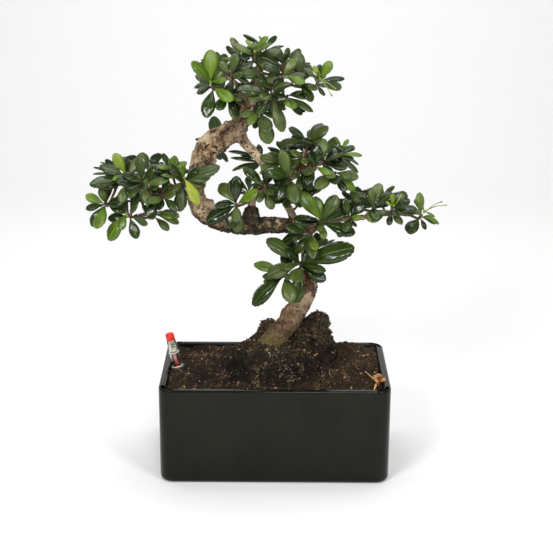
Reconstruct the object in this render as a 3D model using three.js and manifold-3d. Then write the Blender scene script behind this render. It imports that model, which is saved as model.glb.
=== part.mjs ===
// A fukien tea bonsai in its glazed planter. Millimetres, +Z up, the planter's front faces -Y.
// The origin is the middle of the planter's underside.
import * as THREE from 'three'
import Module from 'manifold-3d'
import { mergeVertices } from 'three/addons/utils/BufferGeometryUtils.js'

const wasm = await Module()
wasm.setup()
const { Manifold, Mesh } = wasm

// Planter: a glazed box with rounded upright corners.
const POT_LENGTH = 200
const POT_DEPTH = 120
const POT_HEIGHT = 87
const POT_CORNER = 12
const POT_WALL = 6
const POT_FLOOR = 7
const POT_FOOT_ROUND = 4.5
const POT_RIM_ROUND = 1.6
const CORNER_STEPS = 4

// Clearance between neighbouring solids.
const GAP = 0.3

// Edges shorter than this, left by a cut, are closed up.
const SLIVER = 0.02

// Soil and the old root ball that stands proud of it.
const SOIL_LEVEL = 82.5
const MOUND_CENTRE = [0, 4]
const MOUND_REACH = [54, 43]
const MOUND_HEIGHT = 35
const MOUND_BOTTOM = 34

// Water gauge: its axis leans to the left and crosses the soil at GAUGE_AT.
const GAUGE_AT = [-87.2, 4, 82.2]
const GAUGE_LEAN = THREE.MathUtils.degToRad(12.3)
const GAUGE_FOOT = -75.4
const SLEEVE_RADIUS = 5.6
const SLEEVE_BORE = 4.7
const COLLAR_RADIUS = 6.3
const TUBE_RADIUS = 4.4
const NECK_RADIUS = 4.1
const TUBE_WALL = 0.8
const TUBE_TOP = 27.6
const CAP_RADIUS = 3.9
const CAP_TOP = 34.3
const ROD_RADIUS = 1.2
const ROD_TOP = 15
const FLOAT_RADIUS = 3.4
const FLOAT_HEIGHT = 26
const GAUGE_SIDES = 14

// Trunk and branches: [x, y, z, radius] along each middle line.
const TRUNK = [
  [-24, 2, 66, 12], [-15, 0, 88, 13], [-7, -1, 103, 11.6], [3, -3, 118, 9.6],
  [11, -5, 129, 9.4], [17, -5, 139, 9.3], [23, -6, 149, 9.2], [28, -4, 160, 8.2],
  [30, 1, 172, 7.2], [29, 5, 186, 6.8], [28, 8, 200, 6.6], [20, 9, 211, 6.3],
  [4, 8, 215, 6.8], [-18, 6, 215, 7.8], [-41, 2, 218, 8.2], [-61, -1, 228, 8.6],
  [-69, -1, 246, 7.8], [-65, 2, 269, 8.6], [-56, 6, 287, 10], [-34, 7, 299, 8.4],
  [-26, 4, 318, 5.9], [-18, 0, 339, 4.3], [-15, -3, 355, 2.8],
]
const BRANCHES = {
  left: [
    [-67, 0, 251, 4.3], [-78, -4, 249, 3.8], [-94, -6, 248, 3.4], [-109, -8, 251, 2.9],
    [-122, -10, 255, 2.4], [-134, -12, 256, 1.7],
  ],
  left_low: [[-95, -6, 248, 2.6], [-101, -10, 237, 2.2], [-110, -12, 230, 1.9], [-118, -13, 229, 1.6]],
  left_back: [[-84, -4, 248, 2.9], [-95, 14, 250, 2.4], [-111, 30, 251, 1.8]],
  stub: [[-21, 4, 216, 7.4], [-21, 2, 226, 6.8], [-21, 1, 232, 6.2]],
  middle: [[-21, 1, 229, 4], [-20, -6, 242, 3.4], [-14, -10, 251, 2.9], [-6, -11, 258, 2.2]],
  upper_right: [
    [-33, 7, 297, 5], [-28, 5, 290, 4.7], [-20, 0, 282, 4.1], [-12, -3, 274, 3.9], [-4, -4, 263, 3.6],
    [8, -4, 262, 3.2], [18, -4, 267, 2.9], [23, -5, 276, 2.4], [25, -5, 283, 2],
  ],
  upper_side: [[18, -4, 267, 2.5], [30, -2, 270, 2.1], [40, 0, 272, 1.9], [48, 1, 273, 1.6]],
  riser: [
    [20, 8, 212, 4], [13, 8, 227, 3.5], [6, 8, 239, 3], [2, 10, 249, 2.8],
    [9, 20, 260, 2.3], [19, 32, 265, 1.7],
  ],
  arm: [
    [25, 7, 210, 4.4], [38, 0, 219, 3.6], [53, -4, 224, 3], [67, -5, 225, 2.7],
    [81, -5, 227, 2.2], [95, -5, 229, 1.9], [107, -5, 229, 1.7], [116, -5, 228, 1.5],
  ],
  crown_right: [[-19, 1, 336, 3.8], [-7, -6, 339, 3.2], [5, -10, 340, 2.5], [12, -11, 341, 2]],
  crown_left: [[-24, 3, 324, 3.9], [-32, -8, 333, 3], [-40, -12, 336, 2.4], [-46, -15, 338, 2]],
  crown_front: [[-25, 4, 320, 3.4], [-20, -16, 326, 2.5], [-17, -30, 329, 1.6]],
  crown_back: [[-18, 0, 338, 3.7], [-16, 20, 339, 2.7], [-13, 40, 342, 1.7]],
  crown_back_left: [[-22, 3, 329, 3.4], [-35, 22, 336, 2.6], [-45, 36, 342, 1.7]],
}
const TRUNK_SIDES = 10
const BRANCH_SIDES = 5
const TRUNK_STEPS = 2

// Leafy stems. Each shoot ends in a bud at `at`. `aimed` holds where its plainest leaves reach to, from
// the bud, `fill` how many more stand round it, and `young` the pale tuft that grows out of its top.
const STEMS = {
  crown_left: [
    {
      at: [-53, -20, 341], aimed: [[-12, -4, -6], [9, 8, 18], [-14, 4, 8]], fill: 3,
      young: { aimed: [[-15, -8, 18], [0, 4, 26], [13, -8, 3]], fill: 1 },
    },
    { at: [-39, -17, 333], aimed: [[7, -4, -20], [-6, -3, -11], [-12, 3, -2]], fill: 3 },
  ],
  crown_front: [
    { at: [-4, -30, 337], aimed: [[-28, -6, 4], [10, -4, -31], [-8, -4, -22]], fill: 2 },
    { at: [-14, -26, 321], aimed: [[9, -3, -26], [-2, -6, -15], [-16, -4, -3], [15, 2, -5]], fill: 1 },
    { at: [9, -19, 333], aimed: [[12, -5, -15], [-11, -8, -12], [19, -3, 0]], fill: 1 },
  ],
  crown_top: [
    {
      at: [-18, -8, 364], aimed: [[-17, 0, 9], [-11, -12, -14], [21, -4, 4], [11, -14, -9]], fill: 2,
      young: { aimed: [[11, -3, 13], [14, 6, 6], [-8, 8, 8]], fill: 1 },
    },
    { at: [-9, 10, 366], aimed: [[-19, -2, 13], [15, 2, 3], [2, 14, 4]], fill: 3 },
  ],
  crown_top_left: [
    { at: [-27, 4, 356], aimed: [[-19, -2, 3], [-16, 8, 7], [-12, -12, -9]], fill: 2 },
    { at: [-37, -19, 350], aimed: [[-15, -4, 9], [15, -8, -5], [-4, -9, -19], [9, 2, 14]], fill: 1 },
  ],
  crown_right: [
    { at: [20, -13, 343], aimed: [[-4, 2, 26], [8, 5, 28], [5, -6, -15], [-9, -3, -16]], fill: 2 },
    {
      at: [34, -14, 343], aimed: [[24, 2, 2], [6, 12, -4], [8, -12, -8]], fill: 2,
      young: { aimed: [[9, -2, 15], [-5, 4, 10]], fill: 1, stalks: [[13, -6, -7], [10, -5, -13]] },
    },
  ],
  crown_right_top: [
    { at: [5, -4, 357], aimed: [[13, -4, 4], [-6, 9, 13], [9, 6, 12]], fill: 3 },
    { at: [5, -22, 350], aimed: [[-16, -4, 8], [18, -7, -5], [-7, -9, -15], [11, 2, 13]], fill: 1 },
  ],
  crown_back: [
    { at: [-13, 46, 346], aimed: [[4, 20, 4]], fill: 6 },
    { at: [11, 30, 347], aimed: [[18, 8, 4]], fill: 6 },
  ],
  crown_back_left: [
    { at: [-50, 40, 345], aimed: [[-16, 10, 6]], fill: 7 },
    { at: [-33, 28, 352], aimed: [], fill: 6 },
  ],
  crown_back_low: [{ at: [-16, 32, 325], aimed: [], fill: 6 }],
  trunk_back: [{ at: [-50, 22, 283], aimed: [[-20, 2, 4], [8, -2, -15]], fill: 1 }],
  left_far: [
    {
      at: [-125, -16, 262], aimed: [[-31, -8, -4], [-25, 4, 8], [10, 6, 16], [-5, -10, -19]], fill: 2,
      young: { aimed: [[-9, -2, 19], [-10, -8, -2]], fill: 1 },
    },
  ],
  left_tip: [
    {
      at: [-145, -14, 239], from: [-134, -12, 256],
      aimed: [[-16, -2, 8], [-17, -4, -3], [-11, -7, -18], [16, -8, -6], [-2, -4, 15]],
      fill: 2,
    },
  ],
  left_low: [
    {
      at: [-125, -18, 231], aimed: [[21, -4, -8], [7, -6, -20], [-13, 2, 4]], fill: 2,
      young: { aimed: [[-15, -4, -22], [-4, -8, -12]], fill: 0, bends: true },
    },
    { at: [-102, -15, 231], aimed: [[11, -3, -14], [16, -3, -3], [-11, -7, 8]], fill: 2 },
  ],
  left_middle: [
    { at: [-106, -17, 251], aimed: [[-18, -7, 2], [1, -8, -16]], fill: 2 },
    { at: [-112, -25, 261], aimed: [[-15, -5, 8], [12, 0, 14], [6, -9, -17], [-10, -8, -12]], fill: 0 },
  ],
  left_near: [
    {
      at: [-87, -11, 264], aimed: [[-20, -3, 7], [3, 4, 20], [-15, -9, -2]], fill: 2,
      young: { aimed: [[0, -1, 12], [-12, -4, 4], [12, 2, 7]], fill: 1 },
    },
    {
      at: [-78, -15, 260], aimed: [[31, -3, 13], [-3, -9, -25], [8, -3, -17], [-9, -10, -7]], fill: 1,
      young: { aimed: [[19, -8, -20], [-3, -3, 10]], fill: 0 },
    },
    { at: [-96, -24, 249], aimed: [[14, -5, -12], [-12, -8, -16], [6, 0, 14]], fill: 1 },
  ],
  left_back: [
    { at: [-112, 38, 257], aimed: [[-18, 10, 4]], fill: 6 },
    { at: [-96, 30, 260], aimed: [[12, 14, 2]], fill: 6 },
  ],
  left_back_far: [{ at: [-138, 12, 260], from: [-122, -10, 255], aimed: [[-18, 4, 3]], fill: 6 }],
  left_under: [{ at: [-116, 10, 238], aimed: [], fill: 6 }],
  pad_top: [
    { at: [26, -8, 293], aimed: [[-16, -2, 11], [-24, -6, -3], [17, -4, -3], [12, 6, 3]], fill: 2 },
    { at: [24, -15, 281], aimed: [[-15, -7, -9], [-21, -2, 2], [12, -9, -4]], fill: 1 },
  ],
  pad_front: [
    { at: [20, -18, 270], aimed: [[20, -6, -12], [0, -7, -16], [26, 1, -8], [-10, -4, -9]], fill: 1 },
    { at: [11, -25, 265], aimed: [[-17, -5, 8], [-9, -9, -16]], fill: 1 },
    { at: [33, -26, 275], aimed: [[16, -8, -7], [-8, -9, -13], [3, 0, 15]], fill: 1 },
  ],
  pad_left: [{ at: [6, -14, 275], aimed: [[-19, -5, -4], [-4, 2, 12], [-14, 3, 6]], fill: 2 }],
  pad_right: [
    { at: [41, -7, 276], aimed: [[17, -9, 1], [20, -6, -13], [-3, 2, 12]], fill: 2 },
    {
      at: [54, 1, 280], aimed: [[19, -2, -1], [17, 3, 8], [12, 10, -6]], fill: 2,
      young: { aimed: [[-6, -2, 11], [6, 3, 8]], fill: 1 },
    },
    { at: [50, -16, 268], aimed: [[19, -3, -4], [8, -8, -15], [-13, -8, -7]], fill: 1 },
  ],
  pad_inner: [{ at: [-12, 8, 273], aimed: [[-25, -8, -8], [-29, 6, 5], [-3, 6, 12]], fill: 2 }],
  pad_back: [
    { at: [8, 30, 272], aimed: [[-16, 10, 4]], fill: 5 },
    { at: [26, 43, 272], aimed: [[6, 18, 2]], fill: 6 },
  ],
  pad_back_right: [{ at: [44, 24, 272], aimed: [[18, 6, 2]], fill: 6 }],
  middle_left: [
    { at: [-34, -18, 241], aimed: [[1, 0, 24], [-24, -6, -15], [2, -6, -24], [19, -8, 13]], fill: 1 },
  ],
  middle_right: [
    {
      at: [-9, -20, 256],
      aimed: [[2, -2, 17], [22, -6, -1], [6, -6, -18], [-6, -9, -11], [-15, -3, 1]],
      fill: 1,
    },
  ],
  middle_back: [{ at: [-24, 18, 243], aimed: [[-10, 10, 6]], fill: 5 }],
  centre_front: [
    {
      at: [39, -16, 225],
      aimed: [[-19, -2, 27], [13, 0, 23], [-24, -8, 3], [2, -10, -13], [28, -8, -9]],
      fill: 1,
    },
    { at: [27, -13, 214], aimed: [[-18, -6, 7], [-14, -4, -6]], fill: 1 },
  ],
  centre_right: [{ at: [63, -13, 228], aimed: [[-5, 0, 17], [14, 0, 12], [7, -7, -8]], fill: 2 }],
  centre_up: [{ at: [12, -8, 246], aimed: [[11, -6, 9], [-4, -9, -9], [10, -6, -9]], fill: 2 }],
  centre_back: [{ at: [22, 33, 234], aimed: [[6, 16, 4]], fill: 7 }],
  arm_middle: [
    { at: [83, -11, 237], aimed: [[-24, -5, 11], [-20, 6, 12], [-3, 2, 15]], fill: 2 },
    {
      at: [99, -12, 235], aimed: [[17, 3, 9], [-3, -8, -12], [11, -5, -3], [-11, -6, -2]], fill: 1,
      young: { aimed: [[-2, -2, 11], [7, -1, 13], [-7, -3, 4]], fill: 0 },
    },
  ],
  arm_tip: [
    {
      at: [125, -7, 229], aimed: [[-22, -3, 6], [-14, -10, -12], [3, -4, -12]], fill: 1,
      young: { aimed: [], fill: 2, stalks: [[14, -4, 10], [19, 3, 5]] },
    },
  ],
  arm_back: [
    { at: [93, 17, 235], aimed: [[14, 10, 4]], fill: 6 },
    { at: [68, 22, 232], aimed: [[-6, 16, 4]], fill: 6 },
  ],
  low_front: [
    {
      at: [21, -17, 188],
      aimed: [[-29, -3, 22], [46, -6, 17], [27, -10, 1], [22, -5, -14], [-28, -6, -10], [-3, -9, -33]],
      fill: 1,
    },
  ],
  low_left: [{ at: [8, -14, 177], aimed: [[-28, -6, -26], [-20, 4, -8]], fill: 1 }],
  low_back: [{ at: [37, 24, 189], aimed: [[16, 12, 4]], fill: 6 }],
}

// The rule for leaves. A shoot is a five-sided twig that swells at its end. Each leaf grows out of one
// facet of that end, arches along its length and carries a blunt tip with three teeth.
const TWIG_RADII = [1.5, 1.15, 1.25, 1.9, 1.75]
const TWIG_SAG = 0.12
const SHOOT_STEPS = [-4.6, -2.3, -0.2, 2]
const YOUNG_GAP = 0.65
const YOUNG_RADII = [0.7, 1.45]
const YOUNG_STEPS = [-1.5, 0, 1.7]
const SHOOT_SIDES = 5
const STALK_SHARE = 0.42
const CALYX_SHARE = 1.3
const BLADE_THICKNESS = 1
const NARROW_FOOT = 0.06
const WIDEST = 0.6
const TIP_REACH = 0.43
const TOOTH = 0.87
const EDGE_ROLL = 0.17
const GOLDEN_ANGLE = 2.39996
const LEAST_RISE = 0.42
const GUARD_ROWS = [0.08, 0.22, 0.45, 0.72, 1.01]
const GUARD = 0.85
const STEM_CLEARANCE = 0.75
const AIMED_TRIES = 12
const FILL_TRIES = 8
const SEED = 20417

const DARK_LEAF = 0x2f4326
const YOUNG_LEAF = 0x8fae38
const BARK = 0x8a6f58

const add = (a, b, k = 1) => [a[0] + b[0] * k, a[1] + b[1] * k, a[2] + b[2] * k]
const sub = (a, b) => [a[0] - b[0], a[1] - b[1], a[2] - b[2]]
const scale = (a, k) => [a[0] * k, a[1] * k, a[2] * k]
const dot = (a, b) => a[0] * b[0] + a[1] * b[1] + a[2] * b[2]
const cross = (a, b) => [
  a[1] * b[2] - a[2] * b[1],
  a[2] * b[0] - a[0] * b[2],
  a[0] * b[1] - a[1] * b[0],
]
const length = (a) => Math.sqrt(dot(a, a))
const unit = (a) => scale(a, 1 / length(a))
const mix = (a, b, t) => add(a, sub(b, a), t)

// A seeded draw between 0 and 1.
let draw = SEED
function random() {
  draw = (Math.imul(draw, 1664525) + 1013904223) >>> 0
  return draw / 4294967296
}

// The part of `a` that is square to the unit vector `b`, made a unit vector.
function squareTo(a, b) {
  return unit(add(a, b, -dot(a, b)))
}

// A solid from a closed geometry.
function solidOf(geometry) {
  geometry.deleteAttribute('normal')
  geometry.deleteAttribute('uv')
  const { index, attributes } = mergeVertices(geometry)
  const triVerts = Uint32Array.from(index.array)
  return new Manifold(new Mesh({ numProp: 3, vertProperties: attributes.position.array, triVerts }))
}

// A solid from points and triangles.
function solidFrom(points, faces) {
  const geometry = new THREE.BufferGeometry().setFromPoints(points.map((p) => new THREE.Vector3(...p)))
  geometry.setIndex(faces.flat())
  return solidOf(geometry)
}

// A solid from rings of points, each joined to the next, with its two ends closed.
function loft(rings) {
  const n = rings[0].length
  const points = rings.flat()
  const faces = []
  const last = (rings.length - 1) * n
  const middle = (ring) => scale(ring.reduce((sum, p) => add(sum, p), [0, 0, 0]), 1 / n)
  const foot = points.push(middle(rings[0])) - 1
  const head = points.push(middle(rings[rings.length - 1])) - 1
  for (let i = 0; i < n; i++) {
    const j = (i + 1) % n
    for (let r = 0; r < last; r += n) {
      faces.push([r + i, r + j, r + n + j], [r + i, r + n + j, r + n + i])
    }
    faces.push([foot, j, i], [head, last + i, last + j])
  }
  return solidFrom(points, faces)
}

// A shape turned round the Z axis from [radius, height] pairs, which start and end on that axis.
function turned(profile, sides = GAUGE_SIDES) {
  const outline = profile.map(([radius, height]) => new THREE.Vector2(radius, height))
  return new THREE.LatheGeometry(outline, sides).rotateX(Math.PI / 2)
}

// Stations along a smooth curve through [x, y, z, radius] points.
function smooth(stations, steps) {
  const out = []
  for (let i = 0; i + 1 < stations.length; i++) {
    const p1 = stations[i]
    const p2 = stations[i + 1]
    const p0 = stations[i - 1] || p1
    const p3 = stations[i + 2] || p2
    for (let k = 0; k < steps; k++) {
      const t = k / steps
      out.push(
        p1.map((_, c) => {
          const slope = p2[c] - p0[c]
          const bend = 2 * p0[c] - 5 * p1[c] + 4 * p2[c] - p3[c]
          const turn = 3 * p1[c] - p0[c] - 3 * p2[c] + p3[c]
          return p1[c] + 0.5 * (slope * t + bend * t * t + turn * t * t * t)
        }),
      )
    }
  }
  out.push(stations[stations.length - 1])
  return out
}

// A round stem along [x, y, z, radius] stations. `relief` gives the surface's rise for a station and angle.
function stem(stations, sides, relief = () => 0, grow = 0) {
  const rings = []
  let side = null
  stations.forEach((p, i) => {
    const before = stations[Math.max(0, i - 1)]
    const after = stations[Math.min(stations.length - 1, i + 1)]
    const along = unit(sub(after, before))
    side = squareTo(side || [0.3, 1, 0.2], along)
    const other = cross(along, side)
    rings.push(
      Array.from({ length: sides }, (_, k) => {
        const angle = (2 * Math.PI * k) / sides
        const r = p[3] * (1 + relief(i / TRUNK_STEPS, angle)) + grow
        const spoke = add(scale(side, r * Math.cos(angle)), other, r * Math.sin(angle))
        return [p[0] + spoke[0], p[1] + spoke[1], p[2] + spoke[2]]
      }),
    )
  })
  return loft(rings)
}

// Rounded rectangle ring at height z, drawn in from the planter's outside by `inset`.
function potRing(inset, z) {
  const radius = Math.max(POT_CORNER - inset, 1)
  const reach = [POT_LENGTH / 2 - inset - radius, POT_DEPTH / 2 - inset - radius]
  const ring = []
  for (let corner = 0; corner < 4; corner++) {
    const sx = corner === 0 || corner === 3 ? 1 : -1
    const sy = corner < 2 ? 1 : -1
    for (let k = 0; k <= CORNER_STEPS; k++) {
      const angle = (Math.PI / 2) * (corner + k / CORNER_STEPS)
      ring.push([sx * reach[0] + radius * Math.cos(angle), sy * reach[1] + radius * Math.sin(angle), z])
    }
  }
  return ring
}

function makePlanter() {
  const rim = POT_RIM_ROUND
  const foot = POT_FOOT_ROUND
  const soft = 1 - Math.SQRT1_2
  return loft([
    potRing(foot, 0),
    potRing(foot * soft, foot * soft),
    potRing(0, foot),
    potRing(0, POT_HEIGHT - rim),
    potRing(rim * soft, POT_HEIGHT - rim * soft),
    potRing(rim, POT_HEIGHT),
    potRing(POT_WALL - rim, POT_HEIGHT),
    potRing(POT_WALL - rim * soft, POT_HEIGHT - rim * soft),
    potRing(POT_WALL, POT_HEIGHT - rim),
    potRing(POT_WALL, POT_FLOOR + 2),
    potRing(POT_WALL + 2, POT_FLOOR),
  ])
}

// Height of the loose soil: broad swells with small lumps on them.
function soilHeight(x, y) {
  const swell = 0.9 * Math.sin(0.11 * x + 1.2) * Math.cos(0.13 * y) + 0.7 * Math.sin(0.23 * x - 0.19 * y + 2)
  return SOIL_LEVEL + swell + 0.5 * Math.sin(0.41 * x + 0.37 * y)
}

// A block under a height function, over a grid of columns and rows.
function heightBlock(reachX, reachY, columns, rows, bottom, height) {
  const points = []
  const faces = []
  const at = (i, j, top) => 2 * (i * (rows + 1) + j) + (top ? 1 : 0)
  for (let i = 0; i <= columns; i++) {
    for (let j = 0; j <= rows; j++) {
      const x = reachX * ((2 * i) / columns - 1)
      const y = reachY * ((2 * j) / rows - 1)
      points.push([x, y, bottom], [x, y, height(x, y)])
    }
  }
  const wall = (i, j, k, l) => {
    faces.push([at(i, j), at(k, l), at(k, l, true)], [at(i, j), at(k, l, true), at(i, j, true)])
  }
  for (let i = 0; i < columns; i++) {
    for (let j = 0; j < rows; j++) {
      faces.push([at(i, j, true), at(i + 1, j, true), at(i + 1, j + 1, true)])
      faces.push([at(i, j, true), at(i + 1, j + 1, true), at(i, j + 1, true)])
      faces.push([at(i, j), at(i + 1, j + 1), at(i + 1, j)], [at(i, j), at(i, j + 1), at(i + 1, j + 1)])
    }
    wall(i, 0, i + 1, 0)
    wall(i + 1, rows, i, rows)
  }
  for (let j = 0; j < rows; j++) {
    wall(columns, j, columns, j + 1)
    wall(0, j + 1, 0, j)
  }
  return solidFrom(points, faces)
}

// Ring of the root ball, `share` of the way from its middle to its foot.
function moundRing(share, grow, z) {
  const spokes = 20
  return Array.from({ length: spokes }, (_, i) => {
    const angle = (2 * Math.PI * i) / spokes
    const wobble = 1 + 0.06 * Math.sin(3 * angle + 0.8) + 0.04 * Math.sin(5 * angle + 2)
    const x = MOUND_CENTRE[0] + (MOUND_REACH[0] * wobble * share + grow) * Math.cos(angle)
    const y = MOUND_CENTRE[1] + (MOUND_REACH[1] * wobble * share + grow) * Math.sin(angle)
    const fall = 1 - Math.pow(share, 1.8)
    const lumps = 1.6 * Math.sin(0.31 * x + 0.4) * Math.cos(0.27 * y) * Math.min(1, fall * 3)
    return [x, y, z === undefined ? SOIL_LEVEL + MOUND_HEIGHT * fall + lumps : z]
  })
}

// An uneven clod round a point.
function clod(at, reach, phase) {
  const ball = new THREE.IcosahedronGeometry(1, 1)
  const place = ball.getAttribute('position')
  const points = []
  const faces = []
  for (let i = 0; i < place.count; i++) {
    const p = [place.getX(i), place.getY(i), place.getZ(i)]
    const swell = 0.1 * Math.sin(4 * p[0] + phase) * Math.cos(3.3 * p[1]) + 0.07 * Math.sin(6 * p[2] + phase)
    points.push(p.map((c, k) => at[k] + c * reach[k] * (1 + swell)))
    if (i % 3 === 2) faces.push([i - 2, i - 1, i])
  }
  return solidFrom(points, faces)
}

function makeRootBall(trunkHole) {
  const mound = loft([
    moundRing(0.9, 0, MOUND_BOTTOM),
    moundRing(1, 0, MOUND_BOTTOM + 14),
    moundRing(1, 0, SOIL_LEVEL - 3),
    moundRing(1, 0),
    moundRing(0.8, 0),
    moundRing(0.6, 0),
    moundRing(0.4, 0),
    moundRing(0.2, 0),
  ])
  const clods = [
    clod([38, 12, 121], [12.5, 12, 14.5], 0.6),
    clod([41, 15, 106], [11, 13, 14], 3.2),
    clod([47, 21, 94], [10, 14, 12], 5.1),
    clod([-6, 14, 116], [10, 8, 9], 2.1),
    clod([22, 12, 114], [14, 12, 14], 4),
  ]
  return Manifold.union([mound, ...clods]).subtract(trunkHole)
}

// A sleeve in the soil, closed at its foot, with a collar round its mouth.
function makeGaugeShaft() {
  return turned([
    [0, GAUGE_FOOT],
    [SLEEVE_RADIUS, GAUGE_FOOT],
    [SLEEVE_RADIUS, -1],
    [COLLAR_RADIUS, -0.5],
    [COLLAR_RADIUS, 1.6],
    [COLLAR_RADIUS - 0.6, 2.2],
    [SLEEVE_BORE, 2.2],
    [SLEEVE_BORE, GAUGE_FOOT + 1.5],
    [0, GAUGE_FOOT + 1.5],
  ])
}

// A clear tube, wide below and narrower above, open at both ends.
function makeGaugeTube() {
  return turned([
    [TUBE_RADIUS, -12],
    [TUBE_RADIUS, 13.6],
    [TUBE_RADIUS + 0.3, 14],
    [TUBE_RADIUS + 0.3, 15.6],
    [NECK_RADIUS, 17],
    [NECK_RADIUS, TUBE_TOP],
    [NECK_RADIUS - TUBE_WALL, TUBE_TOP],
    [NECK_RADIUS - TUBE_WALL, 17],
    [TUBE_RADIUS - TUBE_WALL, 13.6],
    [TUBE_RADIUS - TUBE_WALL, -12],
    [TUBE_RADIUS, -12],
  ])
}

// A cap whose plug closes the tube's upper end.
function makeGaugeCap() {
  const plug = NECK_RADIUS - TUBE_WALL - GAP
  return turned([
    [0, TUBE_TOP - 3],
    [plug, TUBE_TOP - 3],
    [plug, TUBE_TOP + GAP],
    [CAP_RADIUS, TUBE_TOP + GAP],
    [CAP_RADIUS, CAP_TOP - 2.2],
    [CAP_RADIUS - 0.5, CAP_TOP - 0.9],
    [CAP_RADIUS - 1.7, CAP_TOP - 0.1],
    [0, CAP_TOP],
  ])
}

// A strip with the level marks, at the back of the tube's neck, under the cap's plug.
function makeGaugeScale() {
  const bottom = ROD_TOP - 11
  const top = TUBE_TOP - 3 - GAP
  return new THREE.BoxGeometry(4.12, 0.6, top - bottom).translate(0, 2.09, (top + bottom) / 2)
}

// A float with the red rod that shows its height.
function makeGaugeFloat() {
  const foot = GAUGE_FOOT + 1.8
  return turned([
    [0, foot],
    [FLOAT_RADIUS - 0.8, foot],
    [FLOAT_RADIUS, foot + 0.8],
    [FLOAT_RADIUS, foot + FLOAT_HEIGHT],
    [ROD_RADIUS, foot + FLOAT_HEIGHT + 1.5],
    [ROD_RADIUS, ROD_TOP - 0.6],
    [ROD_RADIUS * 0.4, ROD_TOP],
    [0, ROD_TOP],
  ], 12)
}

// Bark: shallow ridges that wander along the trunk, and a few knots.
const KNOTS = [
  [3, 4.2, 0.16], [6, 1, 0.2], [9, 5, 0.18], [12.6, 2.6, 0.24], [14, 0.6, 0.2], [15.6, 4, 0.22],
  [18.2, 2, 0.2],
]
function bark(station, angle) {
  const ridges = 0.05 * Math.sin(3 * angle + 1.5 * station) + 0.035 * Math.sin(5 * angle - 2.7 * station)
  const knots = KNOTS.reduce((sum, [place, side, rise]) => {
    const turn = Math.cos(angle - side)
    return sum + (turn > 0 ? rise * turn ** 6 * Math.exp(-((station - place) ** 2) * 5.6) : 0)
  }, 0)
  return ridges + knots
}

const trunkLine = smooth(TRUNK, TRUNK_STEPS)

function makeTrunk(grow = 0) {
  const branches = Object.values(BRANCHES).map((line) => stem(line, BRANCH_SIDES, () => 0, grow))
  return Manifold.union([stem(trunkLine, TRUNK_SIDES, bark, grow), ...branches])
}

// Stretches of stem that leaves keep clear of.
const stretches = []
function keepClear(line, owner) {
  for (let i = 0; i + 1 < line.length; i++) {
    const thick = Math.max(line[i][3], line[i + 1][3])
    stretches.push({ from: line[i].slice(0, 3), to: line[i + 1].slice(0, 3), thick, owner })
  }
}

// Half of a blade's width `s` of the way to its tip.
function halfWidth(leaf, s) {
  const swell = Math.pow(Math.sin((Math.PI / 2) * Math.min(1, s / WIDEST)), 1.35)
  const round = s > WIDEST ? Math.sqrt(Math.max(0, 1 - ((s - WIDEST) / TIP_REACH) ** 2)) : 1
  return leaf.length * leaf.width * (NARROW_FOOT + (1 - NARROW_FOOT) * swell) * round
}

// Point of a blade `s` of the way to its tip, `across` from its midrib and `lift` above its middle.
function bladePoint(leaf, s, across, lift = 0) {
  const turn = leaf.arch * s
  const reach = (leaf.length * Math.sin(turn)) / leaf.arch
  const drop = (leaf.length * (1 - Math.cos(turn))) / leaf.arch
  const wide = Math.max(halfWidth(leaf, s), 0.1)
  const roll = (EDGE_ROLL * across * across) / wide
  const rise = lift * Math.cos(turn) - drop - roll
  const along = reach + lift * Math.sin(turn)
  return add(add(add(leaf.root, leaf.along, along), leaf.side, across), leaf.face, rise)
}

// A leaf whose foot is `root` and whose tip lies at `reach` from it, its upper side turned to `facing`.
function leafTo(root, reach, facing, arch, width) {
  const chord = length(reach)
  const toTip = unit(reach)
  const up = squareTo(facing, toTip)
  const half = arch / 2
  const along = add(scale(toTip, Math.cos(half)), up, Math.sin(half))
  const face = add(scale(up, Math.cos(half)), toTip, -Math.sin(half))
  const side = cross(face, along)
  return { root, along, face, side, length: (chord * half) / Math.sin(half), arch, width }
}

// A coarse net round a blade, GUARD wider than it, with pins that stand GUARD out of both faces.
function guardOf(leaf) {
  const points = []
  const pins = []
  GUARD_ROWS.forEach((s) => {
    const wide = halfWidth(leaf, Math.min(s, 0.97)) + GUARD
    for (const u of [-1, 0, 1]) {
      points.push(bladePoint(leaf, s, u * wide))
      pins.push([bladePoint(leaf, s, u * wide, -GUARD), bladePoint(leaf, s, u * wide, GUARD)])
    }
  })
  const faces = []
  const edges = []
  for (let r = 0; r < GUARD_ROWS.length; r++) {
    const first = 3 * r
    edges.push([r, points[first], points[first + 1]], [r, points[first + 1], points[first + 2]])
    edges.push(...pins.slice(first, first + 3).map((pin) => [r, ...pin]))
    if (r + 1 < GUARD_ROWS.length) {
      for (const c of [0, 1]) {
        const [a, b, d, e] = [first + c, first + c + 1, first + c + 3, first + c + 4].map((k) => points[k])
        faces.push([r, a, b, e], [r, a, e, d])
        edges.push([r, a, e], [r, a, d])
      }
      edges.push([r, points[first + 2], points[first + 5]])
    }
  }
  const middle = points[7]
  const reach = Math.max(...points.map((p) => length(sub(p, middle))))
  return { points, faces, edges, middle, reach }
}

// Whether the stretch from p to q passes through the triangle a, b, c.
function crosses(p, q, a, b, c) {
  const e1 = sub(b, a)
  const e2 = sub(c, a)
  const way = sub(q, p)
  const h = cross(way, e2)
  const det = dot(e1, h)
  if (Math.abs(det) < 1e-9) return false
  const s = sub(p, a)
  const u = dot(s, h) / det
  if (u < 0 || u > 1) return false
  const k = cross(s, e1)
  const v = dot(way, k) / det
  if (v < 0 || u + v > 1) return false
  const t = dot(e2, k) / det
  return t >= 0 && t <= 1
}

// Distance from p to the stretch between two points.
function distanceTo(p, from, to) {
  const way = sub(to, from)
  const t = Math.min(1, Math.max(0, dot(sub(p, from), way) / Math.max(dot(way, way), 1e-9)))
  return length(sub(p, add(from, way, t)))
}

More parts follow.
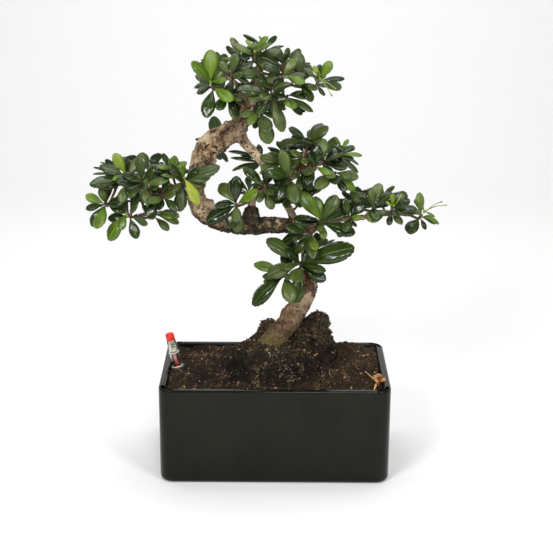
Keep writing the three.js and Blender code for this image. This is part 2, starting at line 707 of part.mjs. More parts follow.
// Whether two leaves meet. Leaves of one bud join at their feet, so their lowest rows don't count.
function leavesMeet(one, two, lowest) {
  const meets = (a, b) =>
    a.edges.some(
      ([r, p, q]) => r >= lowest && b.faces.some(([k, x, y, z]) => k >= lowest && crosses(p, q, x, y, z)),
    )
  return meets(one, two) || meets(two, one)
}

// Whether a leaf of a shoot would stay clear of every stem and of every leaf that already has its place.
const placed = []
function isFree(guard, shoot) {
  for (const other of placed) {
    if (length(sub(guard.middle, other.guard.middle)) > guard.reach + other.guard.reach) continue
    if (leavesMeet(guard, other.guard, other.shoot === shoot ? 1 : 0)) return false
  }
  for (const { from, to, thick, owner } of stretches) {
    const lowest = owner === shoot ? 1 : 0
    const far = distanceTo(guard.middle, from, to)
    if (far > guard.reach + thick + 1) continue
    if (guard.points.some((p, i) => i >= 3 * lowest && distanceTo(p, from, to) < thick + STEM_CLEARANCE)) {
      return false
    }
    if (guard.faces.some(([r, a, b, c]) => r >= lowest && crosses(from, to, a, b, c))) return false
  }
  return true
}

// Outward and up from the stem that carries the bud, leaning to the side of the tree that it is on.
function budAxis(bud, from) {
  const lean = Math.max(-1, Math.min(1, (bud[1] - 8) / 22))
  return unit(add([0, 0.5 * lean, 0.85], unit(sub(bud, from)), 0.55))
}

// The way that the upper sides of a bud's leaves are turned.
function facingOf(bud, axis) {
  const lean = Math.max(-1, Math.min(1, (bud[1] - 8) / 22))
  return unit(add([0, 0.65 * lean, 0.7], axis, 0.35))
}

// A small turn of a vector, drawn at random, up to `amount` of its length.
function nudge(v, amount) {
  const size = length(v)
  const jolt = [random() - 0.5, random() - 0.5, random() - 0.5]
  return scale(unit(add(v, jolt, 2 * amount * size)), size)
}

// The free facet of a shoot that looks most towards a point, and how much it does.
function facetTowards(shoot, tip) {
  const rise = (facet) => dot(facet.normal, unit(sub(tip, facet.middle)))
  const free = shoot.facets.filter((facet) => !facet.taken)
  const facet = free.reduce((best, next) => (rise(next) > rise(best) ? next : best))
  return { facet, rise: rise(facet) }
}

// Grows one leaf out of the free facet that looks its way, if it then stays clear of all the others.
function place(shoot, target, facing, arch, width) {
  const tip = add(shoot.at, target)
  const { facet, rise } = facetTowards(shoot, tip)
  const reach = sub(tip, facet.middle)
  if (rise < LEAST_RISE || Math.abs(dot(unit(reach), unit(facing))) > 0.97) return false
  const leaf = leafTo(facet.middle, reach, facing, arch, width)
  if (dot(leaf.along, facet.normal) < LEAST_RISE) return false
  const guard = guardOf(leaf)
  if (!isFree(guard, shoot.name)) return false
  facet.taken = leaf
  placed.push({ leaf, guard, shoot: shoot.name })
  return true
}

// Places the leaves of a shoot that are aimed.
function placeAimed(shoot) {
  for (const reach of shoot.aimed) {
    for (let k = 0; k < AIMED_TRIES; k++) {
      const target = scale(nudge(reach, 0.02 + 0.035 * k), 1 - 0.02 * k)
      const facing = nudge(shoot.facing, 0.12 + 0.09 * k)
      const arch = 0.35 + 0.5 * random()
      const width = length(reach) > 32 ? 0.22 : 0.245 + 0.035 * random()
      if (place(shoot, target, facing, arch, width)) break
    }
  }
}

// Places the leaves that fill the ring round a shoot's bud.
function placeFill(shoot) {
  for (let i = 0; i < shoot.fill; i++) {
    const share = (i + 0.5) / shoot.fill
    for (let k = 0; k < FILL_TRIES; k++) {
      const round = shoot.turn + GOLDEN_ANGLE * i + 1.1 * k
      const open = (0.75 + 0.7 * share) * (1 - 0.3 * (k % 2)) + 0.15 * (random() - 0.5)
      const side = squareTo([0.2, 0.3, 1], shoot.axis)
      const other = cross(shoot.axis, side)
      const spoke = add(scale(side, Math.cos(round)), other, Math.sin(round))
      const way = add(scale(shoot.axis, Math.cos(open)), spoke, Math.sin(open))
      const long = shoot.longest * (0.6 + 0.4 * share) * (0.9 + 0.2 * random()) * (1 - 0.05 * k)
      const facing = nudge(add(shoot.axis, shoot.facing), 0.15)
      if (place(shoot, scale(way, long), facing, 0.4 + 0.5 * random(), 0.235 + 0.04 * random())) break
    }
  }
}

// The nearest station of the trunk and its branches below a bud.
function carrierOf(bud) {
  const lines = [trunkLine.slice(6), ...Object.values(BRANCHES)]
  const cost = (p) => length(sub(bud, p)) + 0.6 * Math.max(0, p[2] - bud[2] + 3)
  return lines.flat().reduce((best, p) => (cost(p) < cost(best) ? p : best)).slice(0, 3)
}

// Stations of a twig that leaves `from` low and swells at its end, which points along `axis`.
function twigLine(from, at, axis) {
  const foot = add(at, axis, SHOOT_STEPS[0])
  const elbow = add(mix(from, foot, 0.5), [0, 0, 1], -TWIG_SAG * length(sub(foot, from)))
  const middle = mix(mix(from, elbow, 0.5), mix(elbow, foot, 0.5), 0.5)
  return [from, middle, foot, add(at, axis, SHOOT_STEPS[1]), add(at, axis, SHOOT_STEPS[2])].map((p, i) => [
    ...p, TWIG_RADII[i],
  ])
}

// Rings round the stations, each turned half a step from the one before, and the tip above them. The
// facets of the last two stretches and of the tip are where leaves can grow.
function shootBody(line, tip) {
  const rings = []
  let side = [0.3, 1, 0.2]
  line.forEach((p, i) => {
    const before = line[Math.max(0, i - 1)]
    const after = line[i + 1] || tip
    const along = unit(sub(after, before))
    side = squareTo(side, along)
    const other = cross(along, side)
    rings.push(
      Array.from({ length: SHOOT_SIDES }, (_, k) => {
        const angle = (2 * Math.PI * (k + 0.5 * i)) / SHOOT_SIDES
        return add(add(p, side, p[3] * Math.cos(angle)), other, p[3] * Math.sin(angle))
      }),
    )
  })
  const walls = []
  const facets = []
  rings.forEach((ring, i) => {
    const above = rings[i + 1]
    const keep = i >= rings.length - 3 ? facets : walls
    ring.forEach((p, k) => {
      const next = ring[(k + 1) % SHOOT_SIDES]
      if (above) keep.push([p, next, above[k]], [next, above[(k + 1) % SHOOT_SIDES], above[k]])
      else facets.push([p, next, tip])
    })
  })
  for (let k = 1; k + 1 < SHOOT_SIDES; k++) walls.push([rings[0][0], rings[0][k + 1], rings[0][k]])
  return {
    walls,
    facets: facets.map((corners) => ({
      corners,
      middle: scale(corners.reduce((sum, p) => add(sum, p), [0, 0, 0]), 1 / 3),
      normal: unit(cross(sub(corners[1], corners[0]), sub(corners[2], corners[0]))),
      taken: null,
    })),
  }
}

// Every shoot with its twig, bud and axis, before any leaf is placed.
const shoots = []
function plan() {
  for (const [name, list] of Object.entries(STEMS)) {
    let first = null
    for (const entry of list) {
      const from = first ? first.line[1].slice(0, 3) : entry.from || carrierOf(entry.at)
      const axis = budAxis(entry.at, from)
      const line = twigLine(from, entry.at, axis)
      const shoot = {
        ...entry, node: `stem_${name}`, name: shoots.length, line, axis, facing: facingOf(entry.at, axis),
        longest: 23, turn: 1.7 * shoots.length, ...shootBody(line, add(entry.at, axis, SHOOT_STEPS[3])),
      }
      first = first || shoot
      keepClear(line, shoot.name)
      shoots.push(shoot)
      if (entry.young) shoots.push(youngShoot(name, shoot, entry.young))
    }
  }
}

// The pale tuft above a shoot's tip: a short green stem with new leaves and flower stalks.
function youngShoot(name, parent, young) {
  const sum = young.aimed.reduce((all, v) => add(all, unit(v)), scale(parent.axis, young.bends ? 0.2 : 1))
  const axis = unit(sum)
  const foot = add(parent.at, parent.axis, SHOOT_STEPS[3] + YOUNG_GAP)
  const at = add(foot, axis, -YOUNG_STEPS[0])
  const line = YOUNG_RADII.map((radius, i) => [...add(at, axis, YOUNG_STEPS[i]), radius])
  const shoot = {
    at, aimed: young.aimed, fill: young.fill, node: `young_${name}`, name: shoots.length, line, axis,
    facing: parent.facing, longest: 11, turn: 0.6 * shoots.length,
    ...shootBody(line, add(at, axis, YOUNG_STEPS[2])),
  }
  keepClear(line, shoot.name)
  for (const reach of young.stalks || []) growStalk(shoot, reach)
  return shoot
}

// A flower stalk with its calyx, out of the facet that looks its way.
function growStalk(shoot, reach) {
  const tip = add(shoot.at, reach)
  const { facet } = facetTowards(shoot, tip)
  const bend = add(mix(facet.middle, tip, 0.5), [0, 0, 1], 0.08 * length(reach))
  const way = unit(sub(tip, bend))
  facet.taken = {
    stations: [[bend, STALK_SHARE], [add(tip, way, -1.6), STALK_SHARE], [add(tip, way, -0.2), CALYX_SHARE]],
    tip: add(tip, way, 0.5),
  }
  keepClear([[...facet.middle, 0.6], [...bend, 0.6], [...tip, CALYX_SHARE]], shoot.name)
}

// Triangles of a faceted blade, a pillow with sharp edges, that take the place of the facet it grows
// out of. The facet's corners are the foot's left and right, and its top or its underside.
function bladeFaces(leaf, corners) {
  const w = (s) => halfWidth(leaf, s)
  const half = BLADE_THICKNESS / 2
  const middle = scale(corners.reduce((sum, p) => add(sum, p), [0, 0, 0]), 1 / 3)
  const lifts = corners.map((p) => dot(sub(p, middle), leaf.face))
  const highest = lifts.indexOf(Math.max(...lifts))
  const lowest = lifts.indexOf(Math.min(...lifts))
  const pointsUp = lifts[highest] > -lifts[lowest]
  const apex = pointsUp ? highest : lowest
  const [peak, one, two] = [0, 1, 2].map((k) => corners[(apex + k) % 3])
  const [left, right] = pointsUp ? [one, two] : [two, one]
  const rim = [
    left,
    ...[0.3, 0.6].map((s) => bladePoint(leaf, s, -w(s))),
    bladePoint(leaf, TOOTH, -w(TOOTH)),
    bladePoint(leaf, TOOTH + 0.05, -0.6 * w(TOOTH)),
    bladePoint(leaf, 1.01, 0),
    bladePoint(leaf, TOOTH + 0.05, 0.6 * w(TOOTH)),
    bladePoint(leaf, TOOTH, w(TOOTH)),
    ...[0.6, 0.3].map((s) => bladePoint(leaf, s, w(s))),
    right,
  ]
  const skin = (lift) => {
    const crest = bladePoint(leaf, 0.52, 0, lift)
    const faces = rim.slice(1).map((next, i) => [rim[i], next, crest])
    if (pointsUp === lift > 0) faces.push([right, peak, crest], [peak, left, crest])
    else faces.push([right, left, crest])
    return faces
  }
  return [...skin(half), ...skin(-half).map((face) => face.reverse())]
}

// Triangles of a stalk with three sides that swells to a calyx, in place of the facet it grows out of.
function stalkFaces(stalk, { corners, middle }) {
  const rings = stalk.stations.map(([at, share]) => corners.map((p) => add(at, sub(p, middle), share)))
  const faces = []
  ;[corners, ...rings].forEach((ring, i, all) => {
    const above = all[i + 1]
    ring.forEach((p, k) => {
      const next = ring[(k + 1) % 3]
      if (above) faces.push([p, next, above[(k + 1) % 3]], [p, above[(k + 1) % 3], above[k]])
      else faces.push([p, next, stalk.tip])
    })
  })
  return faces
}

// The solid of a shoot with all that grows out of its facets.
function shootSolid(shoot) {
  const faces = [...shoot.walls]
  for (const facet of shoot.facets) {
    if (!facet.taken) faces.push(facet.corners)
    else if (facet.taken.stations) faces.push(...stalkFaces(facet.taken, facet))
    else faces.push(...bladeFaces(facet.taken, facet.corners))
  }
  return solidFrom(faces.flat(), faces.map((_, i) => [3 * i, 3 * i + 1, 3 * i + 2]))
}

// A straw that lies on the swells of the soil.
function makeStraw() {
  return stem([[80.6, -4.6, 82.95, 0.7], [84.4, -18, 84, 0.8], [87.9, -31.2, 84.9, 0.6]], 5)
}

// A dried leaf, curled into four lobes, that stands on its stalk by the wall.
function makeDryLeaf() {
  const foot = 82.44
  const line = [[90, -35.8, foot, 0.8], [90.3, -34.4, foot + 1.6, 0.8], [90.5, -33.2, foot + 2.6, 1.4]]
  const at = [90.6, -32.8, foot + 3.2]
  const shoot = { at, ...shootBody(line, [90.7, -32.4, foot + 4.4]), name: 'dry_leaf' }
  for (const reach of [[4, 2, 4], [-4, 3, 4], [0, 6, 5], [-1, -3, 4]]) {
    const tip = add(at, reach)
    const { facet } = facetTowards(shoot, tip)
    facet.taken = leafTo(facet.middle, sub(tip, facet.middle), [0.1, -0.4, 0.6], 0.8, 0.34)
  }
  return shootSolid(shoot)
}

// The largest body of a solid, without the slivers and scraps that a cut leaves.
function wholeOf(solid) {
  const bodies = solid.simplify(SLIVER).decompose()
  return bodies.reduce((best, body) => (body.volume() > best.volume() ? body : best))
}

// A flat-shaded geometry of a solid.
function geometryOf(solid) {
  const { vertProperties, triVerts } = solid.getMesh()
  const geometry = new THREE.BufferGeometry()
  geometry.setAttribute('position', new THREE.BufferAttribute(vertProperties, 3))
  geometry.setIndex(new THREE.BufferAttribute(triVerts, 1))
  const flat = geometry.toNonIndexed()
  flat.computeVertexNormals()
  return flat
}

const group = new THREE.Group()
group.name = 'fukien_tea_bonsai'

// The gauge's own group: its Z axis is the gauge's leaning middle line.
const gauge = new THREE.Group()
gauge.position.set(...GAUGE_AT)
gauge.rotation.y = -GAUGE_LEAN
gauge.updateMatrix()
group.add(gauge)

function addPiece(parent, name, geometry, color, roughness, look = {}) {
  const piece = new THREE.Mesh(geometry, new THREE.MeshStandardMaterial({ color, roughness, ...look }))
  piece.name = name
  parent.add(piece)
}

const trunk = makeTrunk()
const trunkRoom = makeTrunk(GAP)

keepClear(trunkLine, 'trunk')
Object.entries(BRANCHES).forEach(([name, line]) => keepClear(line, name))
plan()
shoots.forEach(placeAimed)
shoots.forEach(placeFill)

const moundHole = loft([
  moundRing(0.9, GAP, MOUND_BOTTOM - GAP),
  moundRing(1, GAP, MOUND_BOTTOM + 14),
  moundRing(1, GAP, POT_HEIGHT + 20),
])
const sleeveHole = turned([
  [0, GAUGE_FOOT - 8],
  [SLEEVE_RADIUS + GAP, GAUGE_FOOT - 8],
  [SLEEVE_RADIUS + GAP, -2],
  [COLLAR_RADIUS + GAP, -1],
  [COLLAR_RADIUS + GAP, 12],
  [0, 12],
]).applyMatrix4(gauge.matrix)
const soilRoom = loft([
  potRing(POT_WALL + 2 + GAP, POT_FLOOR + GAP),
  potRing(POT_WALL + GAP, POT_FLOOR + 2 + GAP),
  potRing(POT_WALL + GAP, POT_HEIGHT + 20),
])
const soil = heightBlock(POT_LENGTH / 2, POT_DEPTH / 2, 18, 11, 0, soilHeight)
  .intersect(soilRoom)
  .subtract(moundHole)
  .subtract(solidOf(sleeveHole))

addPiece(group, 'planter', geometryOf(makePlanter()), 0x14180f, 0.12)
addPiece(group, 'soil', geometryOf(wholeOf(soil)), 0x2b211a, 0.95)
addPiece(group, 'root_ball', geometryOf(wholeOf(makeRootBall(trunkRoom))), 0x241a14, 0.95)
addPiece(group, 'trunk', geometryOf(trunk), BARK, 0.8)
addPiece(gauge, 'gauge_shaft', makeGaugeShaft(), 0x2a2a2a, 0.5)
addPiece(gauge, 'gauge_tube', makeGaugeTube(), 0xe8f0f0, 0.05, { transparent: true, opacity: 0.35 })
addPiece(gauge, 'gauge_cap', makeGaugeCap(), 0xd8241c, 0.35)
addPiece(gauge, 'gauge_scale', makeGaugeScale(), 0xf2efe2, 0.6)
addPiece(gauge, 'gauge_float', makeGaugeFloat(), 0xc9302c, 0.45)
addPiece(group, 'straw', geometryOf(makeStraw()), 0xc9a15a, 0.85)
addPiece(group, 'dry_leaf', geometryOf(wholeOf(makeDryLeaf())), 0xa4602c, 0.85)

for (const node of new Set(shoots.map((shoot) => shoot.node))) {
  const solids = shoots.filter((shoot) => shoot.node === node).map(shootSolid)
  const spray = geometryOf(wholeOf(Manifold.union(solids).subtract(trunkRoom)))
  if (node.startsWith('young_')) addPiece(group, node, spray, YOUNG_LEAF, 0.45)
  else addPiece(group, node, spray, DARK_LEAF, 0.3)
}

export default group
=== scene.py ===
import math
import random

import bmesh
import bpy
import numpy as np
from mathutils import Matrix, Vector, noise
from mathutils.bvhtree import BVHTree


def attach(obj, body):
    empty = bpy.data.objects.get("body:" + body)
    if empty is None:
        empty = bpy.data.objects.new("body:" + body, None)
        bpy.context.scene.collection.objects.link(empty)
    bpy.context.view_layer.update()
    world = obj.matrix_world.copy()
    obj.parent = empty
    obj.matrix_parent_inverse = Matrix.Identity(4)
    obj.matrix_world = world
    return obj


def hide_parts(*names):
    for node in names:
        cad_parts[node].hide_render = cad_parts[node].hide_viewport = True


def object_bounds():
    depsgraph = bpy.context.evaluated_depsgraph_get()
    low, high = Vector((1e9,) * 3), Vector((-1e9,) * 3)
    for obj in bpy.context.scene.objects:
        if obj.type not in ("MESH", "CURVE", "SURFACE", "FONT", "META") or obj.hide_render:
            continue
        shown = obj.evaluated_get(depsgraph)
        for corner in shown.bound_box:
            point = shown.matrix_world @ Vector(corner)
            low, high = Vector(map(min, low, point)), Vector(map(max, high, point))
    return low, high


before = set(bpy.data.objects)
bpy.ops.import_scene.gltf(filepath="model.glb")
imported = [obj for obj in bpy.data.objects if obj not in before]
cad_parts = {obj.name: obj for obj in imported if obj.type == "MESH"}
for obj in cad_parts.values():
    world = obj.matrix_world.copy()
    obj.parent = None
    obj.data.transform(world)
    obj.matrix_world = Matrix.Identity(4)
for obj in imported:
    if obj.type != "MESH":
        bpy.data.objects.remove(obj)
cad_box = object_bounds()

# Planter: one slip-cast box of dark clay under a black-green glaze, with straight walls, rounded
# upright corners and a softened rim and foot. A block is bevelled, hollowed from its top, and its
# edges are rounded. It stands on its flat underside.
MM = 0.001
POT_SIZE = Vector((200, 120, 87)) * MM
POT_CORNER = 12 * MM
POT_WALL = 6 * MM
POT_FLOOR = 7 * MM
RIM_ROUND = 1.6 * MM
FOOT_ROUND = 4.5 * MM


def edges_at(bm, height):
    level = [v for v in bm.verts if abs(v.co.z - height) < 1e-6]
    return [e for e in bm.edges if e.verts[0] in level and e.verts[1] in level]


def round_edges(bm, edges, offset, segments):
    bmesh.ops.bevel(bm, geom=edges, offset=offset, offset_type="OFFSET", affect="EDGES", segments=segments,
                    profile=0.5, material=-1)


def piece_from(name, bm, *surfaces):
    mesh = bpy.data.meshes.new(name)
    bm.to_mesh(mesh)
    bm.free()
    return piece_of(name, mesh, *surfaces)


def piece_of(name, mesh, *surfaces):
    for surface in surfaces:
        mesh.materials.append(surface.material)
    mesh.shade_smooth()
    piece = bpy.data.objects.new(name, mesh)
    bpy.context.scene.collection.objects.link(piece)
    return piece


def belongs(piece, slot, *nodes, body="tree"):
    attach(piece, body)
    if nodes:
        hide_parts(*nodes)
    return piece


MIX_INPUTS = (0, 6, 7)
MIX_RESULT = 2


class Surface:
    """A material whose pattern is built on object coordinates, one node at a time."""

    def __init__(self, name, color, roughness, **sockets):
        self.material = bpy.data.materials.new(name)
        self.material.use_nodes = True
        self.tree = self.material.node_tree
        self.shader = self.tree.nodes["Principled BSDF"]
        self.place = self.node("TexCoord").outputs["Object"]
        for socket, value in {"Base_Color": (*color, 1), "Roughness": roughness, **sockets}.items():
            self.shader.inputs[socket.replace("_", " ")].default_value = value

    def node(self, kind, inputs=None, **settings):
        made = self.tree.nodes.new(f"ShaderNode{kind}")
        for name, value in settings.items():
            setattr(made, name, value)
        for name, value in (inputs or {}).items():
            if isinstance(value, bpy.types.NodeSocket):
                self.tree.links.new(value, made.inputs[name])
            else:
                made.inputs[name].default_value = value
        return made

    def set(self, socket, value):
        self.tree.links.new(value, self.shader.inputs[socket])

    def noise(self, scale, detail=3.0, roughness=0.5, where=None):
        inputs = {"Vector": where or self.place, "Scale": scale, "Detail": detail, "Roughness": roughness}
        return self.node("TexNoise", inputs).outputs["Fac"]

    def math(self, operation, *values):
        return self.node("Math", dict(enumerate(values)), operation=operation).outputs[0]

    def split(self, where=None):
        return self.node("SeparateXYZ", {"Vector": where or self.place}).outputs

    def ramp(self, factor, *stops):
        made = self.node("ValToRGB", {"Fac": factor})
        elements = made.color_ramp.elements
        while len(elements) < len(stops):
            elements.new(1)
        for element, (place, color) in zip(elements, stops):
            element.position = place
            element.color = (*color, 1)
        return made.outputs["Color"]

    def blend(self, factor, *colors):
        colors = [c if isinstance(c, bpy.types.NodeSocket) else (*c, 1) for c in colors]
        made = self.node("Mix", dict(zip(MIX_INPUTS, (factor, *colors))), data_type="RGBA")
        return made.outputs[MIX_RESULT]

    def step(self, value, low, high, result=(0.0, 1.0)):
        inputs = {"Value": value, "From Min": low, "From Max": high}
        inputs["To Min"], inputs["To Max"] = result
        return self.node("MapRange", inputs, interpolation_type="SMOOTHSTEP").outputs["Result"]

    def bump(self, height, distance, strength=1.0):
        inputs = {"Height": height, "Distance": distance, "Strength": strength}
        earlier = self.shader.inputs["Normal"].links
        if earlier:
            inputs["Normal"] = earlier[0].from_socket
        self.set("Normal", self.node("Bump", inputs).outputs["Normal"])


def mottled(name, color, roughness, grain, *stops, **sockets):
    """A surface with tones that change over a grain: the noise's scale, detail and roughness."""
    skin = Surface(name, color, roughness, **sockets)
    skin.set("Base Color", skin.ramp(skin.noise(*grain), *stops))
    return skin


glaze = mottled(
    "black_glaze", (0.004, 0.005, 0.004), 0.08, (26, 4), (0.35, (0.004, 0.0045, 0.0028)),
    (0.7, (0.0075, 0.008, 0.005)), Specular_IOR_Level=0.19, Specular_Tint=(0.97, 1.0, 0.86, 1.0),
)
glaze.set("Roughness", glaze.step(glaze.noise(60, 5, 0.7), 0.42, 0.7, (0.05, 0.15)))
glaze.bump(glaze.noise(15, 2), 0.0016, 0.35)
glaze.bump(glaze.noise(240, 2), 0.00006, 0.5)

bm = bmesh.new()
bmesh.ops.create_cube(bm, size=1)
bmesh.ops.scale(bm, vec=POT_SIZE, verts=bm.verts)
bmesh.ops.translate(bm, vec=(0, 0, POT_SIZE.z / 2), verts=bm.verts)
upright = [e for e in bm.edges if abs(e.verts[0].co.z - e.verts[1].co.z) > 0.01]
round_edges(bm, upright, POT_CORNER, 12)
top = max(bm.faces, key=lambda f: f.calc_center_median().z)
bmesh.ops.inset_region(bm, faces=[top], thickness=POT_WALL, use_even_offset=True)
hollow = bmesh.ops.extrude_face_region(bm, geom=[top])["geom"]
bmesh.ops.delete(bm, geom=[top], context="FACES_ONLY")
sunk = [v for v in hollow if isinstance(v, bmesh.types.BMVert)]
bmesh.ops.translate(bm, vec=(0, 0, POT_FLOOR - POT_SIZE.z), verts=sunk)
round_edges(bm, edges_at(bm, POT_SIZE.z), RIM_ROUND, 4)
round_edges(bm, edges_at(bm, 0), FOOT_ROUND, 6)
belongs(piece_from("planter_glazed", bm, glaze), "black_glaze", "planter")

# Soil: damp potting mix that fills the planter to just under its rim, round the old root ball. Its
# top is a fine grid, raised by swells, crumbs and a low heap at the right rear, and its sides and
# bottom follow the walls.
SOIL_LEVEL = 82.5
SOIL_BOTTOM = 7.4
SOIL_REACH = (93.6, 53.6)
SOIL_CORNER = 5.6


def soil_top(x, y):
    swell = 0.9 * math.sin(0.11 * x + 1.2) * math.cos(0.13 * y) + 0.7 * math.sin(0.23 * x - 0.19 * y + 2)
    level = SOIL_LEVEL + swell + 0.5 * math.sin(0.41 * x + 0.37 * y)
    broad = noise.fractal((x * 0.16, y * 0.16, 3.1), 0.7, 2.1, 3)
    fine = noise.fractal((x * 0.7, y * 0.7, 8.4), 0.9, 2.3, 3)
    heap = 4.5 * math.exp(-((x - 66) / 24) ** 2 - ((y - 56) / 13) ** 2)
    bank = 1.8 * math.exp(-((y - 54) / 7) ** 2)
    return level + (1.3 * broad + 1.35 * fine) + heap + bank


def earth_surface(name, dark, mid, fibre, amount, dry):
    """Peat with fibres in it, paler towards the end of an axis where it has dried."""
    skin = Surface(name, mid, 0.95, Specular_IOR_Level=0.25)
    pale = tuple(2.4 * c for c in mid)
    color = skin.ramp(skin.noise(260, 8, 0.78), (0.4, dark), (0.52, mid), (0.66, pale))
    color = skin.blend(skin.step(skin.noise(34, 3), 0.4, 0.65, (0, 0.65)), color, dark)
    axis, start, end, most = dry
    dried = skin.step(skin.split()[axis], start, end, (0, most))
    dried = skin.math("MULTIPLY", dried, skin.step(skin.noise(520, 6, 0.8), 0.42, 0.58))
    color = skin.blend(dried, color, tuple(0.5 * c for c in fibre))
    for shift, squeeze in ((0.0, (1, 0.3, 0.5)), (5.0, (0.3, 1, 0.5))):
        inputs = {"Vector": skin.place, "Scale": squeeze, "Location": (shift, shift, 0)}
        drawn_out = skin.node("Mapping", inputs).outputs["Vector"]
        strands = skin.noise(1000, 2, 0.6, drawn_out)
        marks = skin.math("MULTIPLY", strands, skin.noise(90, 3, 0.6, drawn_out))
        color = skin.blend(skin.step(marks, amount, amount + 0.05), color, fibre)
    skin.set("Base Color", color)
    skin.bump(skin.noise(380, 7, 0.8), 0.002)
    return skin


soil_mix = earth_surface(
    "potting_soil", (0.005, 0.0032, 0.002), (0.03, 0.0185, 0.0105), (0.2, 0.12, 0.055), 0.345,
    ("X", 0, 0.08, 0.5),
)

bm = bmesh.new()
bmesh.ops.create_grid(bm, x_segments=230, y_segments=132, size=0.5)
for vert in bm.verts:
    x, y = vert.co.x * 2 * SOIL_REACH[0], vert.co.y * 2 * SOIL_REACH[1]
    past_x = max(0.0, abs(x) - SOIL_REACH[0] + SOIL_CORNER)
    past_y = max(0.0, abs(y) - SOIL_REACH[1] + SOIL_CORNER)
    past = math.hypot(past_x, past_y)
    if past > SOIL_CORNER:
        x -= math.copysign(past_x * (1 - SOIL_CORNER / past), x)
        y -= math.copysign(past_y * (1 - SOIL_CORNER / past), y)
    vert.co = Vector((x, y, soil_top(x, y))) * MM
border = [e for e in bm.edges if e.is_boundary]
skirt = bmesh.ops.extrude_edge_only(bm, edges=border)["geom"]
for vert in [v for v in skirt if isinstance(v, bmesh.types.BMVert)]:
    vert.co.z = SOIL_BOTTOM * MM
bmesh.ops.contextual_create(bm, geom=[e for e in bm.edges if e.is_boundary])
bmesh.ops.recalc_face_normals(bm, faces=bm.faces)
soil = belongs(piece_from("soil_bed", bm, soil_mix), "potting_soil", "soil")

# Old root ball: the block of roots and peat that the tree came in. It stands proud of the new soil
# in a lumpy mound with broken clods down its right flank and at its back. Its solid is remeshed to
# small even faces and raised in lumps and crumbs where it shows.
def fine_copy(node, voxel):
    """The solid of a node, merged and remeshed to small even faces."""
    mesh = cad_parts[node].data.copy()
    bm = bmesh.new()
    bm.from_mesh(mesh)
    bmesh.ops.remove_doubles(bm, verts=bm.verts, dist=1e-5)
    bm.to_mesh(mesh)
    bm.free()
    return remeshed(node, mesh, voxel)


def remeshed(name, mesh, voxel):
    holder = bpy.data.objects.new(f"{name}_rough", mesh)
    bpy.context.scene.collection.objects.link(holder)
    modifier = holder.modifiers.new("voxels", "REMESH")
    modifier.mode = "VOXEL"
    modifier.voxel_size = voxel
    modifier.use_smooth_shade = True
    fine = mesh_of(holder)
    fine.materials.clear()
    return fine


def mesh_of(holder):
    mesh = bpy.data.meshes.new_from_object(holder.evaluated_get(bpy.context.evaluated_depsgraph_get()))
    bpy.data.objects.remove(holder)
    return mesh


def smoothed(mesh, times):
    bm = bmesh.new()
    bm.from_mesh(mesh)
    for _ in range(times):
        bmesh.ops.smooth_vert(
            bm, verts=bm.verts, factor=0.5, use_axis_x=True, use_axis_y=True, use_axis_z=True,
        )
    bm.normal_update()
    return bm


rooted_soil = earth_surface(
    "rooted_soil", (0.003, 0.0022, 0.0016), (0.021, 0.0137, 0.0083), (0.24, 0.175, 0.1), 0.33,
    ("Z", 0.092, 0.122, 0.95),
)
UNDER_SOIL = 75 * MM
bm = smoothed(fine_copy("root_ball", 1.1 * MM), 3)
for vert in bm.verts:
    if vert.co.z < UNDER_SOIL:
        continue
    p = vert.co / MM
    lumps = 2.4 * noise.fractal(p * 0.12, 0.8, 2.1, 3)
    crumbs = 2.3 * noise.fractal(p * 0.42 + Vector((7, 1, 3)), 0.95, 2.3, 3)
    vert.co += vert.normal * (lumps + crumbs - 0.8) * MM
root_ball = belongs(piece_from("root_ball_rough", bm, rooted_soil), "rooted_soil", "root_ball")

# Trunk and branches: one grown piece of wood. It leaves the root ball to the right, bends back over
# the planter in a level stretch with a dark cut stub, and turns up through a thick shoulder to the
# crown. Round stems are drawn along its middle lines, fused into one skin, and given bark.
TRUNK = [
    (-24, 2, 66, 12), (-15, 0, 88, 13), (-7, -1, 103, 11.6), (3, -3, 118, 9.6),
    (11, -5, 129, 9.4), (17, -5, 139, 9.3), (23, -6, 149, 9.2), (28, -4, 160, 8.2),
    (30, 1, 172, 7.2), (29, 5, 186, 6.8), (28, 8, 200, 6.6), (20, 9, 211, 6.3),
    (4, 8, 215, 6.8), (-18, 6, 215, 7.8), (-41, 2, 218, 8.2), (-61, -1, 228, 8.6),
    (-69, -1, 246, 7.8), (-65, 2, 269, 8.6), (-56, 6, 287, 10), (-34, 7, 299, 8.4),
    (-26, 4, 318, 5.9), (-18, 0, 339, 4.3), (-15, -3, 355, 2.8),
]
